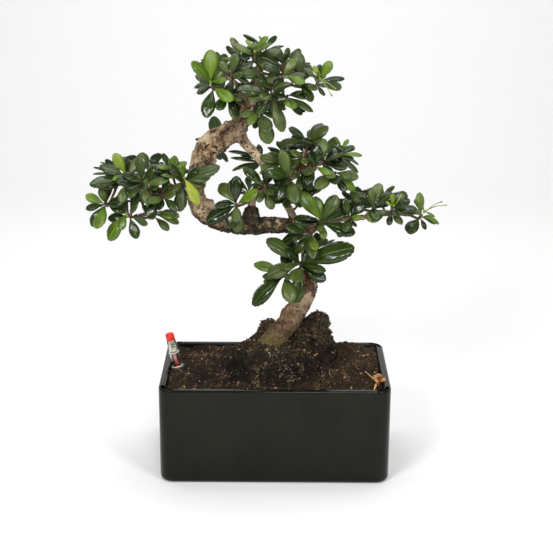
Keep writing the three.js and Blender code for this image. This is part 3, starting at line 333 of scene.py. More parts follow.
BRANCHES = {
    "left": [
        (-67, 0, 251, 4.3), (-78, -4, 249, 3.8), (-94, -6, 248, 3.4), (-109, -8, 251, 2.9),
        (-122, -10, 255, 2.4), (-134, -12, 256, 1.7),
    ],
    "left_low": [(-95, -6, 248, 2.6), (-101, -10, 237, 2.2), (-110, -12, 230, 1.9), (-118, -13, 229, 1.6)],
    "left_back": [(-84, -4, 248, 2.9), (-95, 14, 250, 2.4), (-111, 30, 251, 1.8)],
    "stub": [(-21, 4, 216, 7.4), (-21, 2, 226, 6.8), (-21, 1, 232, 6.2)],
    "middle": [(-21, 1, 229, 4), (-20, -6, 242, 3.4), (-14, -10, 251, 2.9), (-6, -11, 258, 2.2)],
    "upper_right": [
        (-33, 7, 297, 5), (-28, 5, 290, 4.7), (-20, 0, 282, 4.1), (-12, -3, 274, 3.9), (-4, -4, 263, 3.6),
        (8, -4, 262, 3.2), (18, -4, 267, 2.9), (23, -5, 276, 2.4), (25, -5, 283, 2),
    ],
    "upper_side": [(18, -4, 267, 2.5), (30, -2, 270, 2.1), (40, 0, 272, 1.9), (48, 1, 273, 1.6)],
    "riser": [
        (20, 8, 212, 4), (13, 8, 227, 3.5), (6, 8, 239, 3), (2, 10, 249, 2.8),
        (9, 20, 260, 2.3), (19, 32, 265, 1.7),
    ],
    "arm": [
        (25, 7, 210, 4.4), (38, 0, 219, 3.6), (53, -4, 224, 3), (67, -5, 225, 2.7),
        (81, -5, 227, 2.2), (95, -5, 229, 1.9), (107, -5, 229, 1.7), (116, -5, 228, 1.5),
    ],
    "crown_right": [(-19, 1, 336, 3.8), (-7, -6, 339, 3.2), (5, -10, 340, 2.5), (12, -11, 341, 2)],
    "crown_left": [(-24, 3, 324, 3.9), (-32, -8, 333, 3), (-40, -12, 336, 2.4), (-46, -15, 338, 2)],
    "crown_front": [(-25, 4, 320, 3.4), (-20, -16, 326, 2.5), (-17, -30, 329, 1.6)],
    "crown_back": [(-18, 0, 338, 3.7), (-16, 20, 339, 2.7), (-13, 40, 342, 1.7)],
    "crown_back_left": [(-22, 3, 329, 3.4), (-35, 22, 336, 2.6), (-45, 36, 342, 1.7)],
}


def smooth_line(stations, steps):
    """A soft curve through the stations, with a few steps from each to the next."""
    line = []
    for i in range(len(stations) - 1):
        p1, p2 = stations[i], stations[i + 1]
        p0 = stations[i - 1] if i else p1
        p3 = stations[i + 2] if i + 2 < len(stations) else p2
        for k in range(steps):
            t = k / steps
            point = []
            for a, b, c, d in zip(p0, p1, p2, p3):
                slope = c - a
                bend = 2 * a - 5 * b + 4 * c - d
                turn = 3 * b - a - 3 * c + d
                point.append(b + 0.5 * (slope * t + bend * t * t + turn * t * t * t))
            line.append(tuple(point))
    line.append(tuple(stations[-1]))
    return line


def stems_mesh(name, lines, sides=2):
    """Round stems along lines of (x, y, z, radius) in millimetres, each with its surface's number or 0."""
    curve = bpy.data.curves.new(name, "CURVE")
    curve.dimensions = "3D"
    curve.bevel_depth = MM
    curve.bevel_resolution = sides
    curve.use_fill_caps = True
    for line in lines:
        stations, material = line if isinstance(line, tuple) else (line, 0)
        spline = curve.splines.new("POLY")
        spline.points.add(len(stations) - 1)
        spline.material_index = material
        for point, (x, y, z, radius) in zip(spline.points, stations):
            point.co = (x * MM, y * MM, z * MM, 1)
            point.radius = radius
    holder = bpy.data.objects.new(f"{name}_line", curve)
    bpy.context.scene.collection.objects.link(holder)
    return mesh_of(holder)


def stems_piece(name, lines, sides, surfaces, slot, *nodes):
    belongs(piece_of(name, stems_mesh(name, lines, sides), *surfaces), slot, *nodes)


KNOTS = [
    (3, 4.2, 0.2), (4.6, 0.4, 0.25), (6, 1, 0.3), (8.2, 3, 0.3), (9.6, 5, 0.25), (11.2, 0.2, 0.3),
    (13.3, 2.6, 0.4), (13.9, 4.4, 0.3), (15.1, 3.4, 0.5), (15.6, 2, 0.3), (16.4, 4, 0.35), (17.3, 2.6, 0.45),
    (18.4, 3.6, 0.4), (18.8, 0.4, 0.35), (19.6, 2, 0.3),
]
FINE_STEPS = 6
TRUNK_REACH = 1.6
KNOT_REACH = 0.9
CRUST_MIDDLE = 12.8
CRUST_REACH = 2.1
STUB_END = Vector((-21, 2, 228))
STUB_REACH = 13

bark = Surface("bark", (0.3, 0.2, 0.13), 0.8, Specular_IOR_Level=0.3)
grain = bark.math("MULTIPLY_ADD", bark.noise(330, 6, 0.8), 0.45, bark.noise(75, 4, 0.6))
color = bark.ramp(
    grain, (0.57, (0.045, 0.026, 0.014)), (0.655, (0.25, 0.16, 0.09)), (0.74, (0.52, 0.37, 0.22)),
    (0.87, (0.72, 0.58, 0.4)),
)
red = bark.step(bark.noise(60, 5, 0.7), 0.55, 0.64)
color = bark.blend(red, color, (0.2, 0.075, 0.036))
# Dark rough bark: real crust along the level stretch and on the cut stub, and painted shade on the
# undersides of the wood.
crust_and_shade_bark = bark.ramp(
    bark.noise(260, 6, 0.8), (0.4, (0.01, 0.008, 0.006)), (0.52, (0.055, 0.042, 0.024)),
    (0.64, (0.19, 0.16, 0.09)),
)
crust_and_shade = bark.node("Attribute", attribute_name="crust_and_shade").outputs["Fac"]
crusted_and_shaded = bark.step(bark.math("ADD", crust_and_shade, bark.noise(120, 7, 0.78)), 0.8, 0.92)
color = bark.blend(crusted_and_shaded, color, crust_and_shade_bark)
# Pits: small patches sunk by a bump and painted near-black. The dark is partly the bark's own pits and
# partly painted shade in them.
shaded_pit = bark.step(bark.noise(430, 3, 0.55), 0.56, 0.62)
shaded_pit = bark.math("MULTIPLY", shaded_pit, bark.step(bark.noise(100, 4, 0.6), 0.44, 0.52))
color = bark.blend(shaded_pit, color, (0.02, 0.012, 0.008))
foot_bark = bark.ramp(
    bark.noise(300, 6, 0.75), (0.38, (0.03, 0.016, 0.008)), (0.5, (0.125, 0.07, 0.035)),
    (0.64, (0.27, 0.165, 0.085)),
)
height = bark.split()["Z"]
color = bark.blend(bark.step(height, 0.168, 0.125, (0, 0.88)), color, foot_bark)
moss = bark.step(bark.noise(190, 6, 0.8), 0.43, 0.53)
moss = bark.math("MULTIPLY", bark.step(height, 0.131, 0.112), moss)
moss_green = bark.ramp(bark.noise(700, 4, 0.75), (0.38, (0.035, 0.03, 0.009)), (0.6, (0.27, 0.22, 0.07)))
bark.set("Base Color", bark.blend(moss, color, moss_green))
bark.bump(bark.noise(140, 6, 0.75), 0.0028, 0.85)
bark.bump(bark.noise(420, 6, 0.8), 0.0016)
bark.bump(bark.math("SUBTRACT", 1.0, shaded_pit), 0.0012, 0.9)

thick = smooth_line(TRUNK, FINE_STEPS)
lines = [thick, *[smooth_line(line, 5) for line in BRANCHES.values()]]
bm = smoothed(remeshed("trunk", stems_mesh("trunk", lines, 6), 0.8 * MM), 5)
middles = np.array(thick)
knots = []
for station, angle, rise in KNOTS:
    i = round(station * FINE_STEPS)
    middle, radius = Vector(thick[i][:3]), thick[i][3]
    along = (Vector(thick[i + 1][:3]) - Vector(thick[i - 1][:3])).normalized()
    side = along.cross((0, 1, 0)).normalized()
    out = side * math.cos(angle) + along.cross(side) * math.sin(angle)
    knots.append((middle + out * radius, radius, rise))
crust_and_shade_layer = bm.verts.layers.float.new("crust_and_shade")
for vert in bm.verts:
    p = vert.co / MM
    gaps = np.linalg.norm(middles[:, :3] - np.array(p), axis=1) / middles[:, 3]
    near = int(gaps.argmin())
    on_trunk = gaps[near] < TRUNK_REACH
    size = min(1.0, thick[near][3] / 8) if on_trunk else 0.25
    ridges = noise.fractal(Vector((p.x * 0.2, p.y * 0.2, p.z * 0.09)), 0.8, 2.1, 3)
    flakes = noise.fractal(p * 0.5 + Vector((3, 9, 1)), 0.8, 2.3, 4)
    rise = (0.9 * ridges + 1.0 * flakes) * size
    for middle, radius, share in knots:
        away = (p - middle).length / radius
        if away < KNOT_REACH:
            rise += share * radius * (1 - (away / KNOT_REACH) ** 2) ** 2
    level = math.exp(-((near / FINE_STEPS - CRUST_MIDDLE) / CRUST_REACH) ** 2) if on_trunk else 0.0
    stub = max(0.0, 1 - (p - STUB_END).length / STUB_REACH)
    # The level stretch and the stub add crust. The term for faces that look down paints shade on the
    # undersides.
    vert[crust_and_shade_layer] = 0.4 * level + 0.42 * max(0.0, -vert.normal.z) + 0.8 * min(1.0, 2 * stub)
    vert.co += vert.normal * rise * MM
trunk = belongs(piece_from("trunk_bark", bm, bark), "bark", "trunk")

# Leafy stems and young tufts: twigs that leave the branches and end in a bud with a ring of leaves. A
# leaf is a waxy spoon-shaped blade with a sunken midrib and blunt teeth. Some are aimed, the rest stand
# at the golden angle, all clear of stems and other leaves, and small ones fill the shade inside.
TWIG_RADII = (1.5, 1.15, 1.25, 1.9, 1.75)
TWIG_SAG = 0.12
SHOOT_STEPS = (-4.6, -2.3, -0.2, 2)
YOUNG_GAP = 0.65
YOUNG_RADII = (0.7, 1.45)
YOUNG_STEPS = (-1.5, 0, 1.7)
SHOOT_SIDES = 5
STALK_RADIUS = 0.6
CALYX_RADIUS = 1.3
NARROW_FOOT = 0.06
WIDEST = 0.6
TIP_REACH = 0.43
EDGE_ROLL = 0.17
GOLDEN_ANGLE = 2.39996
LEAST_RISE = 0.42
EDGE_ON = 0.97
GUARD_ROWS = (0.08, 0.22, 0.45, 0.72, 1.01)
GUARD_TIP = 0.97
GUARD = 0.85
STEM_CLEARANCE = 0.75
AIMED_TRIES = 12
FILL_TRIES = 8
STEM_LEAF = 23
STEM_PACE = 1.7
YOUNG_LEAF = 11
YOUNG_PACE = 0.6

# The buds of each stem: where a bud is, the reach of its aimed leaves, how many more leaves it has,
# and the young tuft on it, if one grows there. Two stems start at chosen places on the left branch.
STEMS = {
    "crown_left": [
        ((-53, -20, 341), [(-12, -4, -6), (9, 8, 18), (-14, 4, 8)], 3,
         {"aimed": [(-15, -8, 18), (0, 4, 26), (13, -8, 3)], "fill": 1}),
        ((-39, -17, 333), [(7, -4, -20), (-6, -3, -11), (-12, 3, -2)], 3),
    ],
    "crown_front": [
        ((-4, -30, 337), [(-28, -6, 4), (10, -4, -31), (-8, -4, -22)], 2),
        ((-14, -26, 321), [(9, -3, -26), (-2, -6, -15), (-16, -4, -3), (15, 2, -5)], 1),
        ((9, -19, 333), [(12, -5, -15), (-11, -8, -12), (19, -3, 0)], 1),
    ],
    "crown_top": [
        ((-18, -8, 364), [(-17, 0, 9), (-11, -12, -14), (21, -4, 4), (11, -14, -9)], 2,
         {"aimed": [(11, -3, 13), (14, 6, 6), (-8, 8, 8)], "fill": 1}),
        ((-9, 10, 366), [(-19, -2, 13), (15, 2, 3), (2, 14, 4)], 3),
    ],
    "crown_top_left": [
        ((-27, 4, 356), [(-19, -2, 3), (-16, 8, 7), (-12, -12, -9)], 2),
        ((-37, -19, 350), [(-15, -4, 9), (15, -8, -5), (-4, -9, -19), (9, 2, 14)], 1),
    ],
    "crown_right": [
        ((20, -13, 343), [(-4, 2, 26), (8, 5, 28), (5, -6, -15), (-9, -3, -16)], 2),
        ((34, -14, 343), [(24, 2, 2), (6, 12, -4), (8, -12, -8)], 2,
         {"aimed": [(9, -2, 15), (-5, 4, 10)], "fill": 1, "stalks": [(13, -6, -7), (10, -5, -13)]}),
    ],
    "crown_right_top": [
        ((5, -4, 357), [(13, -4, 4), (-6, 9, 13), (9, 6, 12)], 3),
        ((5, -22, 350), [(-16, -4, 8), (18, -7, -5), (-7, -9, -15), (11, 2, 13)], 1),
    ],
    "crown_back": [
        ((-13, 46, 346), [(4, 20, 4)], 6),
        ((11, 30, 347), [(18, 8, 4)], 6),
    ],
    "crown_back_left": [
        ((-50, 40, 345), [(-16, 10, 6)], 7),
        ((-33, 28, 352), [], 6),
    ],
    "crown_back_low": [((-16, 32, 325), [], 6)],
    "trunk_back": [((-50, 22, 283), [(-20, 2, 4), (8, -2, -15)], 1)],
    "left_far": [
        ((-125, -16, 262), [(-31, -8, -4), (-25, 4, 8), (10, 6, 16), (-5, -10, -19)], 2,
         {"aimed": [(-9, -2, 19), (-10, -8, -2)], "fill": 1}),
    ],
    "left_tip": [
        ((-145, -14, 239), [(-16, -2, 8), (-17, -4, -3), (-11, -7, -18), (16, -8, -6),
         (-2, -4, 15)], 2),
    ],
    "left_low": [
        ((-125, -18, 231), [(21, -4, -8), (7, -6, -20), (-13, 2, 4)], 2,
         {"aimed": [(-15, -4, -22), (-4, -8, -12)], "fill": 0, "bends": True}),
        ((-102, -15, 231), [(11, -3, -14), (16, -3, -3), (-11, -7, 8)], 2),
    ],
    "left_middle": [
        ((-106, -17, 251), [(-18, -7, 2), (1, -8, -16)], 2),
        ((-112, -25, 261), [(-15, -5, 8), (12, 0, 14), (6, -9, -17), (-10, -8, -12)], 0),
    ],
    "left_near": [
        ((-87, -11, 264), [(-20, -3, 7), (3, 4, 20), (-15, -9, -2)], 2,
         {"aimed": [(0, -1, 12), (-12, -4, 4), (12, 2, 7)], "fill": 1}),
        ((-78, -15, 260), [(31, -3, 13), (-3, -9, -25), (8, -3, -17), (-9, -10, -7)], 1,
         {"aimed": [(19, -8, -20), (-3, -3, 10)], "fill": 0}),
        ((-96, -24, 249), [(14, -5, -12), (-12, -8, -16), (6, 0, 14)], 1),
    ],
    "left_back": [
        ((-112, 38, 257), [(-18, 10, 4)], 6),
        ((-96, 30, 260), [(12, 14, 2)], 6),
    ],
    "left_back_far": [((-138, 12, 260), [(-18, 4, 3)], 6)],
    "left_under": [((-116, 10, 238), [], 6)],
    "pad_top": [
        ((26, -8, 293), [(-16, -2, 11), (-24, -6, -3), (17, -4, -3), (12, 6, 3)], 2),
        ((24, -15, 281), [(-15, -7, -9), (-21, -2, 2), (12, -9, -4)], 1),
    ],
    "pad_front": [
        ((20, -18, 270), [(20, -6, -12), (0, -7, -16), (26, 1, -8), (-10, -4, -9)], 1),
        ((11, -25, 265), [(-17, -5, 8), (-9, -9, -16)], 1),
        ((33, -26, 275), [(16, -8, -7), (-8, -9, -13), (3, 0, 15)], 1),
    ],
    "pad_left": [((6, -14, 275), [(-19, -5, -4), (-4, 2, 12), (-14, 3, 6)], 2)],
    "pad_right": [
        ((41, -7, 276), [(17, -9, 1), (20, -6, -13), (-3, 2, 12)], 2),
        ((54, 1, 280), [(19, -2, -1), (17, 3, 8), (12, 10, -6)], 2,
         {"aimed": [(-6, -2, 11), (6, 3, 8)], "fill": 1}),
        ((50, -16, 268), [(19, -3, -4), (8, -8, -15), (-13, -8, -7)], 1),
    ],
    "pad_inner": [((-12, 8, 273), [(-25, -8, -8), (-29, 6, 5), (-3, 6, 12)], 2)],
    "pad_back": [
        ((8, 30, 272), [(-16, 10, 4)], 5),
        ((26, 43, 272), [(6, 18, 2)], 6),
    ],
    "pad_back_right": [((44, 24, 272), [(18, 6, 2)], 6)],
    "middle_left": [((-34, -18, 241), [(1, 0, 24), (-24, -6, -15), (2, -6, -24), (19, -8, 13)], 1)],
    "middle_right": [
        ((-9, -20, 256), [(2, -2, 17), (22, -6, -1), (6, -6, -18), (-6, -9, -11),
         (-15, -3, 1)], 1),
    ],
    "middle_back": [((-24, 18, 243), [(-10, 10, 6)], 5)],
    "centre_front": [
        ((39, -16, 225), [(-19, -2, 27), (13, 0, 23), (-24, -8, 3), (2, -10, -13),
         (28, -8, -9)], 1),
        ((27, -13, 214), [(-18, -6, 7), (-14, -4, -6)], 1),
    ],
    "centre_right": [((63, -13, 228), [(-5, 0, 17), (14, 0, 12), (7, -7, -8)], 2)],
    "centre_up": [((12, -8, 246), [(11, -6, 9), (-4, -9, -9), (10, -6, -9)], 2)],
    "centre_back": [((22, 33, 234), [(6, 16, 4)], 7)],
    "arm_middle": [
        ((83, -11, 237), [(-24, -5, 11), (-20, 6, 12), (-3, 2, 15)], 2),
        ((99, -12, 235), [(17, 3, 9), (-3, -8, -12), (11, -5, -3), (-11, -6, -2)], 1,
         {"aimed": [(-2, -2, 11), (7, -1, 13), (-7, -3, 4)], "fill": 0}),
    ],
    "arm_tip": [
        ((125, -7, 229), [(-22, -3, 6), (-14, -10, -12), (3, -4, -12)], 1,
         {"aimed": [], "fill": 2, "stalks": [(14, -4, 10), (19, 3, 5)]}),
    ],
    "arm_back": [
        ((93, 17, 235), [(14, 10, 4)], 6),
        ((68, 22, 232), [(-6, 16, 4)], 6),
    ],
    "low_front": [
        ((21, -17, 188), [(-29, -3, 22), (46, -6, 17), (27, -10, 1), (22, -5, -14),
         (-28, -6, -10), (-3, -9, -33)], 1),
    ],
    "low_left": [((8, -14, 177), [(-28, -6, -26), (-20, 4, -8)], 1)],
    "low_back": [((37, 24, 189), [(16, 12, 4)], 6)],
}
STARTS = {"left_tip": (-134, -12, 256), "left_back_far": (-122, -10, 255)}


def add(a, b, k=1.0):
    return (a[0] + b[0] * k, a[1] + b[1] * k, a[2] + b[2] * k)


def sub(a, b):
    return (a[0] - b[0], a[1] - b[1], a[2] - b[2])


def scale(a, k):
    return (a[0] * k, a[1] * k, a[2] * k)


def dot(a, b):
    return a[0] * b[0] + a[1] * b[1] + a[2] * b[2]


def cross(a, b):
    return (a[1] * b[2] - a[2] * b[1], a[2] * b[0] - a[0] * b[2], a[0] * b[1] - a[1] * b[0])


def length(a):
    return math.sqrt(dot(a, a))


def unit(a):
    return scale(a, 1 / length(a))


def mix(a, b, t):
    return add(a, sub(b, a), t)


def square_to(a, b):
    return unit(add(a, b, -dot(a, b)))


def swung(a, b, angle):
    """The direction a, swung by an angle towards the direction b."""
    return add(scale(a, math.cos(angle)), b, math.sin(angle))


class Seeded:
    """The same draws between 0 and 1 in every run."""

    def __init__(self, seed):
        self.state = seed

    def __call__(self):
        self.state = (self.state * 1664525 + 1013904223) & 0xFFFFFFFF
        return self.state / 4294967296


chance = Seeded(20417)


def half_width(leaf, s):
    swell = math.sin((math.pi / 2) * min(1, s / WIDEST)) ** 1.35
    ends = math.sqrt(max(0, 1 - ((s - WIDEST) / TIP_REACH) ** 2)) if s > WIDEST else 1
    return leaf["length"] * leaf["width"] * (NARROW_FOOT + (1 - NARROW_FOOT) * swell) * ends


def blade_point(leaf, s, across, lift=0.0):
    turn = leaf["arch"] * s
    reach = (leaf["length"] * math.sin(turn)) / leaf["arch"]
    drop = (leaf["length"] * (1 - math.cos(turn))) / leaf["arch"]
    wide = max(half_width(leaf, s), 0.1)
    roll = (EDGE_ROLL * across * across) / wide
    rise = lift * math.cos(turn) - drop - roll
    along = reach + lift * math.sin(turn)
    return add(add(add(leaf["root"], leaf["along"], along), leaf["side"], across), leaf["face"], rise)


def leaf_to(root, reach, facing, arch, width):
    to_tip = unit(reach)
    up = square_to(facing, to_tip)
    half = arch / 2
    along = swung(to_tip, up, half)
    face = swung(up, to_tip, -half)
    return {
        "root": root, "along": along, "face": face, "side": cross(face, along),
        "length": (length(reach) * half) / math.sin(half), "arch": arch, "width": width,
    }


def joined(*groups):
    """The corners of every edge or triangle between nets of points, and the row that each starts in."""
    shapes = [np.stack(group, axis=2).reshape(-1, len(group), 3) for group in groups]
    rows = [np.repeat(np.arange(len(group[0])), group[0].shape[1]) for group in groups]
    return np.concatenate(shapes), np.concatenate(rows)


class Guard:
    """A coarse net round a blade, a little wider than it, with pins that stand out of both faces."""

    def __init__(self, leaf, margin=GUARD):
        wide = {s: half_width(leaf, min(s, GUARD_TIP)) + margin for s in GUARD_ROWS}
        net, low, high = (
            np.array([[blade_point(leaf, s, u * wide[s], lift) for u in (-1, 0, 1)] for s in GUARD_ROWS])
            for lift in (0, -margin, margin)
        )
        a, b, c, d = net[:-1, :2], net[:-1, 1:], net[1:, :2], net[1:, 1:]
        self.edges, self.edge_rows = joined(
            (low, high), (net[:, :2], net[:, 1:]), (net[:-1], net[1:]), (a, d),
        )
        self.faces, self.face_rows = joined((a, b, d), (a, d, c))
        self.points = net.reshape(-1, 3)
        self.middle = net[2, 1]
        self.reach = float(np.linalg.norm(self.points - self.middle, axis=1).max())


def any_crossing(edges, faces):
    """Whether any of the stretches passes through any of the triangles."""
    if not len(edges) or not len(faces):
        return False
    start = edges[:, None, 0]
    way = edges[:, None, 1] - start
    corner = faces[None, :, 0]
    one = faces[None, :, 1] - corner
    two = faces[None, :, 2] - corner
    h = np.cross(way, two)
    det = (one * h).sum(-1)
    flat = np.abs(det) < 1e-9
    inverse = 1 / np.where(flat, 1, det)
    s = start - corner
    u = (s * h).sum(-1) * inverse
    k = np.cross(s, one)
    v = (way * k).sum(-1) * inverse
    t = (two * k).sum(-1) * inverse
    return bool((~flat & (u >= 0) & (u <= 1) & (v >= 0) & (u + v <= 1) & (t >= 0) & (t <= 1)).any())


def leaves_meet(one, two, lowest):
    for a, b in ((one, two), (two, one)):
        if any_crossing(a.edges[a.edge_rows >= lowest], b.faces[b.face_rows >= lowest]):
            return True
    return False


def distances(points, starts, ends):
    """Distance of each point from each stretch."""
    way = ends - starts
    long = np.maximum((way * way).sum(-1), 1e-9)
    offset = points[:, None] - starts[None]
    t = np.clip((offset * way[None]).sum(-1) / long[None], 0, 1)
    return np.linalg.norm(offset - t[..., None] * way[None], axis=-1)


trunk_line = smooth_line(TRUNK, 2)
stretches = []
placed = []
shoots = []
packed = {}


def keep_clear(line, owner):
    for one, two in zip(line, line[1:]):
        stretches.append((one[:3], two[:3], max(one[3], two[3]), owner))
    packed.clear()


def is_free(guard, owner):
    if not packed:
        packed["starts"] = np.array([s[0] for s in stretches], float)
        packed["ends"] = np.array([s[1] for s in stretches], float)
        packed["thick"] = np.array([s[2] for s in stretches], float)
        packed["owners"] = np.array([-1 if isinstance(s[3], str) else s[3] for s in stretches])
    starts, ends, thick = packed["starts"], packed["ends"], packed["thick"]
    far = distances(guard.middle[None], starts, ends)[0]
    near = np.flatnonzero(far <= guard.reach + thick + 1)
    for own in (False, True):
        chosen = near[(packed["owners"][near] == owner) == own]
        lowest = 1 if own else 0
        if not len(chosen):
            continue
        gaps = distances(guard.points[3 * lowest:], starts[chosen], ends[chosen])
        if (gaps < thick[chosen][None] + STEM_CLEARANCE).any():
            return False
        rods = np.stack([starts[chosen], ends[chosen]], axis=1)
        if any_crossing(rods, guard.faces[guard.face_rows >= lowest]):
            return False
    for other, shoot in placed:
        if np.linalg.norm(guard.middle - other.middle) > guard.reach + other.reach:
            continue
        if leaves_meet(guard, other, 1 if shoot == owner else 0):
            return False
    return True


def lean_of(bud):
    return max(-1, min(1, (bud[1] - 8) / 22))


def bud_axis(bud, start):
    return unit(add((0, 0.5 * lean_of(bud), 0.85), unit(sub(bud, start)), 0.55))


def facing_of(bud, axis):
    return unit(add((0, 0.65 * lean_of(bud), 0.7), axis, 0.35))


def nudge(v, amount):
    size = length(v)
    shove = (chance() - 0.5, chance() - 0.5, chance() - 0.5)
    return scale(unit(add(v, shove, 2 * amount * size)), size)


def carrier_of(bud):
    lines = [trunk_line[6:], *BRANCHES.values()]
    stations = [p for line in lines for p in line]
    best = min(stations, key=lambda p: length(sub(bud, p)) + 0.6 * max(0, p[2] - bud[2] + 3))
    return tuple(best[:3])


def twig_line(start, at, axis):
    foot = add(at, axis, SHOOT_STEPS[0])
    elbow = add(mix(start, foot, 0.5), (0, 0, 1), -TWIG_SAG * length(sub(foot, start)))
    middle = mix(mix(start, elbow, 0.5), mix(elbow, foot, 0.5), 0.5)
    points = [start, middle, foot, add(at, axis, SHOOT_STEPS[1]), add(at, axis, SHOOT_STEPS[2])]
    return [(*p, radius) for p, radius in zip(points, TWIG_RADII)]


def facets_of(line, tip):
    """The triangles of a shoot's swollen end, where leaves grow."""
    rings = []
    side = (0.3, 1, 0.2)
    for i, p in enumerate(line):
        before = line[max(0, i - 1)]
        after = line[i + 1] if i + 1 < len(line) else tip
        along = unit(sub(after, before))
        side = square_to(side, along)
        other = cross(along, side)
        ring = []
        for k in range(SHOOT_SIDES):
            angle = (2 * math.pi * (k + 0.5 * i)) / SHOOT_SIDES
            ring.append(add(add(p, side, p[3] * math.cos(angle)), other, p[3] * math.sin(angle)))
        rings.append(ring)
    corners = []
    for i in range(max(0, len(rings) - 3), len(rings)):
        for k in range(SHOOT_SIDES):
            p, following = rings[i][k], rings[i][(k + 1) % SHOOT_SIDES]
            if i + 1 < len(rings):
                above, above_next = rings[i + 1][k], rings[i + 1][(k + 1) % SHOOT_SIDES]
                corners += [(p, following, above), (following, above_next, above)]
            else:
                corners.append((p, following, tip))
    facets = []
    for a, b, c in corners:
        middle = scale(add(add(add((0, 0, 0), a), b), c), 1 / 3)
        facets.append({"middle": middle, "normal": unit(cross(sub(b, a), sub(c, a))), "taken": False})
    return facets


def facet_towards(shoot, tip):
    free = [f for f in shoot["facets"] if not f["taken"]]
    rises = [dot(f["normal"], unit(sub(tip, f["middle"]))) for f in free]
    best = max(range(len(free)), key=lambda k: rises[k])
    return free[best], rises[best]


def keep_leaf(shoot, leaf, guard):
    placed.append((guard, shoot["name"]))
    shoot["leaves"].append(leaf)


def place(shoot, target, facing, arch, width):
    tip = add(shoot["at"], target)
    facet, rise = facet_towards(shoot, tip)
    reach = sub(tip, facet["middle"])
    if rise < LEAST_RISE or abs(dot(unit(reach), unit(facing))) > EDGE_ON:
        return False
    leaf = leaf_to(facet["middle"], reach, facing, arch, width)
    if dot(leaf["along"], facet["normal"]) < LEAST_RISE:
        return False
    guard = Guard(leaf)
    if not is_free(guard, shoot["name"]):
        return False
    facet["taken"] = True
    keep_leaf(shoot, leaf, guard)
    return True


def place_aimed(shoot):
    for reach in shoot["aimed"]:
        for k in range(AIMED_TRIES):
            target = scale(nudge(reach, 0.02 + 0.035 * k), 1 - 0.02 * k)
            facing = nudge(shoot["facing"], 0.12 + 0.09 * k)
            arch = 0.35 + 0.5 * chance()
            width = 0.22 if length(reach) > 32 else 0.245 + 0.035 * chance()
            if place(shoot, target, facing, arch, width):
                break


def spoke_at(axis, turn, start=(0.2, 0.3, 1)):
    """The direction square to an axis at a turn round it."""
    side = square_to(start, axis)
    return swung(side, cross(axis, side), turn)


def place_fill(shoot):
    for i in range(shoot["fill"]):
        share = (i + 0.5) / shoot["fill"]
        for k in range(FILL_TRIES):
            turn = shoot["turn"] + GOLDEN_ANGLE * i + 1.1 * k
            wide_open = (0.75 + 0.7 * share) * (1 - 0.3 * (k % 2)) + 0.15 * (chance() - 0.5)
            way = swung(shoot["axis"], spoke_at(shoot["axis"], turn), wide_open)
            long = shoot["longest"] * (0.6 + 0.4 * share) * (0.9 + 0.2 * chance()) * (1 - 0.05 * k)
            facing = nudge(add(shoot["axis"], shoot["facing"]), 0.15)
            arch = 0.4 + 0.5 * chance()
            if place(shoot, scale(way, long), facing, arch, 0.235 + 0.04 * chance()):
                break


def grow_stalk(shoot, reach):
    tip = add(shoot["at"], reach)
    facet, _ = facet_towards(shoot, tip)
    facet["taken"] = True
    bend = add(mix(facet["middle"], tip, 0.5), (0, 0, 1), 0.08 * length(reach))
    shoot["stalks"].append((facet["middle"], bend, tip))
    line = [(*facet["middle"], STALK_RADIUS), (*bend, STALK_RADIUS), (*tip, CALYX_RADIUS)]
    keep_clear(line, shoot["name"])


def new_shoot(node, at, axis, line, tip, aimed, fill, facing, longest, pace):
    """Adds a bud that leaves can grow from, with its twig's line kept clear."""
    shoot = {
        "node": node, "name": len(shoots), "at": at, "axis": axis, "line": line, "aimed": aimed,
        "fill": fill, "facing": facing, "longest": longest, "turn": pace * len(shoots),
        "facets": facets_of(line, add(at, axis, tip)), "leaves": [], "stalks": [],
    }
    keep_clear(line, shoot["name"])
    shoots.append(shoot)
    return shoot


def grow_stem(name, at, aimed, fill, start):
    axis = bud_axis(at, start)
    line = twig_line(start, at, axis)
    grown = (at, axis, line, SHOOT_STEPS[3], aimed, fill, facing_of(at, axis))
    return new_shoot(f"stem_{name}", *grown, STEM_LEAF, STEM_PACE)


def grow_young(name, parent, aimed, fill, stalks=(), bends=False):
    way = scale(parent["axis"], 0.2 if bends else 1)
    for reach in aimed:
        way = add(way, unit(reach))
    axis = unit(way)
    foot = add(parent["at"], parent["axis"], SHOOT_STEPS[3] + YOUNG_GAP)
    at = add(foot, axis, -YOUNG_STEPS[0])
    line = [(*add(at, axis, step), radius) for radius, step in zip(YOUNG_RADII, YOUNG_STEPS)]
    grown = (at, axis, line, YOUNG_STEPS[2], aimed, fill, parent["facing"])
    shoot = new_shoot(f"young_{name}", *grown, YOUNG_LEAF, YOUNG_PACE)
    for reach in stalks:
        grow_stalk(shoot, reach)


keep_clear(trunk_line, "trunk")
for name, line in BRANCHES.items():
    keep_clear(line, name)
for name, buds in STEMS.items():
    main = None
    for at, aimed, fill, *young in buds:
        start = main["line"][1][:3] if main else STARTS.get(name) or carrier_of(at)
        stem = grow_stem(name, at, aimed, fill, start)
        main = main or stem
        for tuft in young:
            grow_young(name, stem, **tuft)
for shoot in shoots:
    place_aimed(shoot)
for shoot in shoots:
    place_fill(shoot)

INNER_LEAVES = 5
INNER_TRIES = 12
INNER_GUARD = 0.5
INNER_EDGE_ON = 0.96
BOX_LOW = np.array(cad_box[0]) / MM + 0.5
BOX_HIGH = np.array(cad_box[1]) / MM - 0.5


